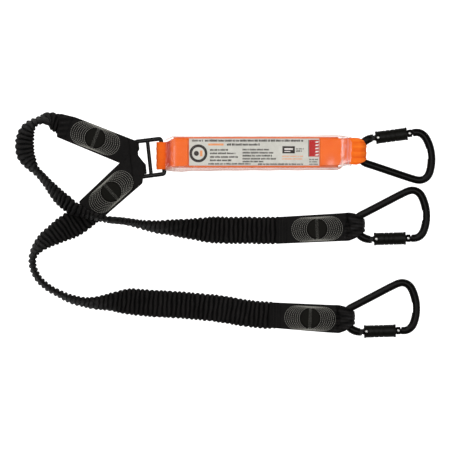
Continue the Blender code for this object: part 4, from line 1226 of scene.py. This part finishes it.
# piece, CAD node, body, x, pin radius, head radius, head underside, head top
RIVETS = [("hinge_rivet", "hinge_pin", "_karabiner", 0.0, 1.5, 2.3, 5.45, 6.15),
          ("latch_rivet", "latch_pin", "_gate", 46.2, 1.2, 1.95, 5.95, 6.65)]
# CAD node, coil radius, x from, x to, turns, wire radius, joint that presses, fixed x
SPRINGS = [("sleeve_spring", 6.1, 9.9, 32.7, 6, 0.4, "_sleeve_pull", 9.5),
           ("gate_spring", 1.3, 11.7, 21.3, 7, 0.3, "_plunger_push", 21.6)]


def karabiner_frame(name):
    """Matrix from a karabiner's own axes to the frame, and its gate axis."""
    along = Vector(JOINTS[name + "_sleeve_twist"]["axis"]).normalized()
    across = Vector(JOINTS[name + "_karabiner_swing"]["axis"]).normalized()
    normal = along.cross(across).normalized()
    hinge = Vector(JOINTS[name + "_gate_open"]["pos_m"])
    rows = [tuple(row) for row in zip(along, across, normal, hinge)]
    return Matrix((*rows, (0, 0, 0, 1))), along


def settle(ob, angle, matrix):
    """Mark edges sharper than angle in degrees, and move the mesh into the frame."""
    ob.data.set_sharp_from_angle(angle=math.radians(angle))
    ob.data.transform(matrix)


def recoat(ob, look):
    """Give a mesh left by booleans one smooth material."""
    ob.data.materials.clear()
    ob.data.materials.append(MAT[look])
    ob.data.polygons.foreach_set("use_smooth", [True] * len(ob.data.polygons))


def karabiner_bar(name, matrix):
    path, _ = catmull([(x * UNIT, y * UNIT, 0.0) for x, y in BAR_PATH], 1.6 * MM)
    nose = (NOSE_X * MM, 0, 0)
    # the path must end at the nose: by a point more if it stops short, else by its last point
    if path[-1, 0] > (NOSE_X + 0.05) * MM:
        path = np.vstack([path, [nose]])
    else:
        path[-1] = nose
    x, y = path[:, 0] / UNIT, path[:, 1] / UNIT
    radius = np.full(len(path), BAR_RADIUS)
    radius += 0.45 * np.exp(-((x + 13.0) / 5.0) ** 2) * (y < 8)
    radius += 0.35 * np.clip((x - 40.0) / 6.0, 0, 1)
    radius -= 0.75 * np.clip((-16.0 - x) / 3.0, 0, 1)   # slimmer where the webbing eye holds it
    radius[:2] = 4.8, 5.4                               # drawn in at both ends
    radius[-2:] = 4.95, 4.4
    ob = solid(name + "_karabiner_bar", *bar_along(path, radius * MM, 28), MAT["anodised"])
    for outline, half_thick in ((HINGE_TONGUE, 2.0), (HINGE_SHOULDER, 3.9), (NOSE_HOOK, 1.6)):
        boolean(ob, prism(outline, half_thick), "UNION")
    # flat bearing land inside the wide end
    land_x = 46.6 * UNIT_MM
    boolean(ob, box((land_x - 6, 17.5 * UNIT_MM, -3.2), (land_x + 0.75, 27.5 * UNIT_MM, 3.2)))
    recoat(ob, "anodised")
    settle(ob, 34, matrix)
    show(ob, name + "_karabiner", "anodised", name + "_karabiner_body")


def gate_barrel(name, matrix):
    ob = solid(name + "_gate_barrel", *lathe(GATE_PROFILE, 48), MAT["anodised"])
    boolean(ob, box((-8, -8, -2.3), (5.2, 8, 2.3)))     # slot at the hinge end
    boolean(ob, box((42.6, -8, -2.1), (55, 8, 2.1)))    # slot at the nose end
    recoat(ob, "anodised")
    settle(ob, 34, matrix)
    show(ob, name + "_gate", "anodised", name + "_karabiner_gate")


def rivet(name, matrix, piece, node, body, x, pin, head, under, top):
    """Domed heads on a plain pin, square to the karabiner's plane."""
    half = [(top, head * 0.45), (top - 0.16, head * 0.8), (top - 0.42, head), (under, head),
            (under, pin)]
    half = [(top, 0.05)] + half
    profile = [(-along, radius) for along, radius in half] + half[::-1]
    ob = solid(f"{name}_{piece}", *lathe(profile, 28), MAT["steel"])
    stand = Matrix.Translation((x * MM, 0, 0)) @ Matrix.Rotation(math.pi / 2, 4, "Y")
    settle(ob, 50, matrix @ stand)
    show(ob, name + body, "rivet_steel", f"{name}_karabiner_{node}")


def lock_sleeve(name, matrix):
    """Turned shell with a raised band at each end and grooves between them."""
    start, end, radius = SLEEVE_START, SLEEVE_END, SLEEVE_RADIUS
    band = radius + 0.38
    edge = [(0, band - 0.5), (0.2, band - 0.18), (0.6, band), (2.7, band), (3.2, radius - 0.1)]
    profile = [(start, SLEEVE_BORE)] + [(start + inset, r) for inset, r in edge]
    for groove in SLEEVE_GROOVES:
        profile += [(groove + offset, radius - depth) for offset, depth in (
            (-0.9, 0), (-0.7, 0.16), (-0.5, 0.62), (0.5, 0.62), (0.7, 0.16), (0.9, 0))]
    profile += [(end - inset, r) for inset, r in edge[::-1]]
    profile += [(end, 6.15), (36.9, 6.15), (36.9, SLEEVE_BORE)]
    ob = solid(name + "_lock_barrel", *lathe(profile, 64), MAT["sleeve"])
    boolean(ob, box((-6, -2.9, -10), (2.9, 2.9, 10)))   # windows at the hinge end
    recoat(ob, "sleeve")
    settle(ob, 30, matrix)
    show(ob, name + "_sleeve", "sleeve_anodised", name + "_karabiner_lock_sleeve")


def spring(name, matrix, axis, part, radius, start, end, turns, wire, joint, fixed_x):
    """Coil of wire round the gate axis, from start to end."""
    angle = np.linspace(0, turns * 2 * np.pi, turns * 22)
    outward = np.column_stack([np.zeros(len(angle)), np.cos(angle), np.sin(angle)])
    centre = radius * outward
    centre[:, 0] = start + (end - start) * angle / angle[-1]
    centre = centre * MM
    binormal = np.cross(unit(np.gradient(centre, axis=0)), outward)
    turn = np.linspace(0, 2 * np.pi, 8, endpoint=False)[None, :, None]
    grid = centre[:, None] + wire * MM * (np.cos(turn) * outward[:, None]
                                          + np.sin(turn) * binormal[:, None])
    ob = solid(f"{name}_{part}_coil", *tube_grid(grid)[:2], MAT["spring"])
    ob.data.transform(matrix)
    show(ob, name + "_gate", "spring_steel", f"{name}_karabiner_{part}")
    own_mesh(ob)


def refinish(ob, look):
    ob.data.materials.clear()
    ob.data.materials.append(MAT[look])


for name in ("harness", "leg_a", "leg_b"):
    matrix, axis = karabiner_frame(name)
    karabiner_bar(name, matrix)
    gate_barrel(name, matrix)
    for row in RIVETS:
        rivet(name, matrix, *row)
    lock_sleeve(name, matrix)
    for row in SPRINGS:
        spring(name, matrix, axis, *row)
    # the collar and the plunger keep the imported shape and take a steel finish
    for part in ("sleeve_collar", "gate_plunger"):
        packed = NODES[f"{name}_karabiner_{part}"]
        refinish(packed, "spring")
        packed.data.polygons.foreach_set("material_index", [0] * len(packed.data.polygons))

# Every CAD node that is stood for still gets a procedural finish: the first key in its name.
CAD_LOOK = (
    ("core", "cord"), ("sleeve_bend", "elastic"), ("sleeve_run", "elastic"),
    ("sleeve_end", "elastic"), ("stitching", "thread"), ("tab", "webbing"),
    ("lock_sleeve", "sleeve"), ("spring", "spring"), ("karabiner_body", "anodised"),
    ("karabiner_gate", "anodised"), ("pin", "steel"), ("connector", "bracket"),
    ("label", "label"), ("clear", "film"), ("loop", "orange"), ("tear", "orange"))
for name, packed in NODES.items():
    look = next((look for key, look in CAD_LOOK if key in name), None)
    if packed.hide_render and look:
        refinish(packed, look)


# ---------------------------------------------------------------- stage, light and camera
def floor():
    material, g, bsdf = new_material("floor_paper")
    noise = g.node("TexNoise", {"Scale": 6.0})
    paper = g.ramp(noise.outputs[0], [(0.3, (0.90, 0.90, 0.895)), (0.7, (0.915, 0.915, 0.91))])
    # the floor glows to the camera alone
    camera_ray = g.node("LightPath").outputs["Is Camera Ray"]
    g.feed(bsdf, {
        "Base Color": paper, "Roughness": 0.9, "Specular IOR Level": 0.0,
        "Emission Color": (1.0, 1.0, 1.0, 1.0),
        "Emission Strength": g.calc("MULTIPLY", camera_ray, 0.60)})
    half, z = 6, min(0.0, FRAME_LO[2]) - 0.60
    corners = [(-half, -half, z), (half, -half, z), (half, half, z), (-half, half, z)]
    add_object("floor", corners, [[0, 1, 2, 3]], material, smooth=False)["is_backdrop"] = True


def studio_world():
    """Even white light, dimmed in reflections."""
    world = bpy.data.worlds.new("studio")
    bpy.context.scene.world = world
    world.use_nodes = True
    g = Graph(world.node_tree)
    glossy_ray = g.node("LightPath").outputs["Is Glossy Ray"]
    strength = g.calc("SUBTRACT", 0.46, g.calc("MULTIPLY", glossy_ray, 0.34))
    g.feed(world.node_tree.nodes["Background"], {0: (1.0, 1.0, 1.0, 1.0), 1: strength})


def area_light(name, location, size, energy):
    """Square light aimed at the origin."""
    light = bpy.data.lights.new(name, "AREA")
    light.shape = "RECTANGLE"
    light.size = light.size_y = size
    light.energy = energy
    ob = bpy.data.objects.new(name, light)
    bpy.context.scene.collection.objects.link(ob)
    ob.location = location
    ob.rotation_euler = (-Vector(location)).to_track_quat("-Z", "Y").to_euler()


def overhead_camera():
    """Straight down on the whole drafting sheet."""
    camera = bpy.data.cameras.new("camera")
    camera.type = "ORTHO"
    camera.ortho_scale = SHEET_SIDE * UNIT
    camera.clip_end = 20
    ob = bpy.data.objects.new("camera", camera)
    bpy.context.scene.collection.objects.link(ob)
    ob.location = (*place(SHEET_SIDE / 2, SHEET_SIDE / 2)[:2], 2.0)
    bpy.context.scene.camera = ob


floor()
studio_world()
area_light("key", location=(-0.9, 1.3, 1.7), size=1.0, energy=16)
area_light("fill", location=(1.4, -0.5, 1.5), size=1.4, energy=9)
area_light("top", location=(0.1, 0.2, 2.4), size=1.3, energy=17)
overhead_camera()
bpy.context.scene.view_settings.view_transform = "Standard"
bpy.context.scene.view_settings.look = "None"

bpy.context.view_layer.update()
depsgraph = bpy.context.evaluated_depsgraph_get()
lo_v, hi_v = np.full(3, 1e9), np.full(3, -1e9)
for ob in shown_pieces():
    mesh = ob.evaluated_get(depsgraph).to_mesh()
    coords = np.zeros(len(mesh.vertices) * 3)
    mesh.vertices.foreach_get("co", coords)
    world_matrix = np.array(ob.matrix_world)
    coords = coords.reshape(-1, 3) @ world_matrix[:3, :3].T + world_matrix[:3, 3]
    lo_v, hi_v = np.minimum(lo_v, coords.min(0)), np.maximum(hi_v, coords.max(0))
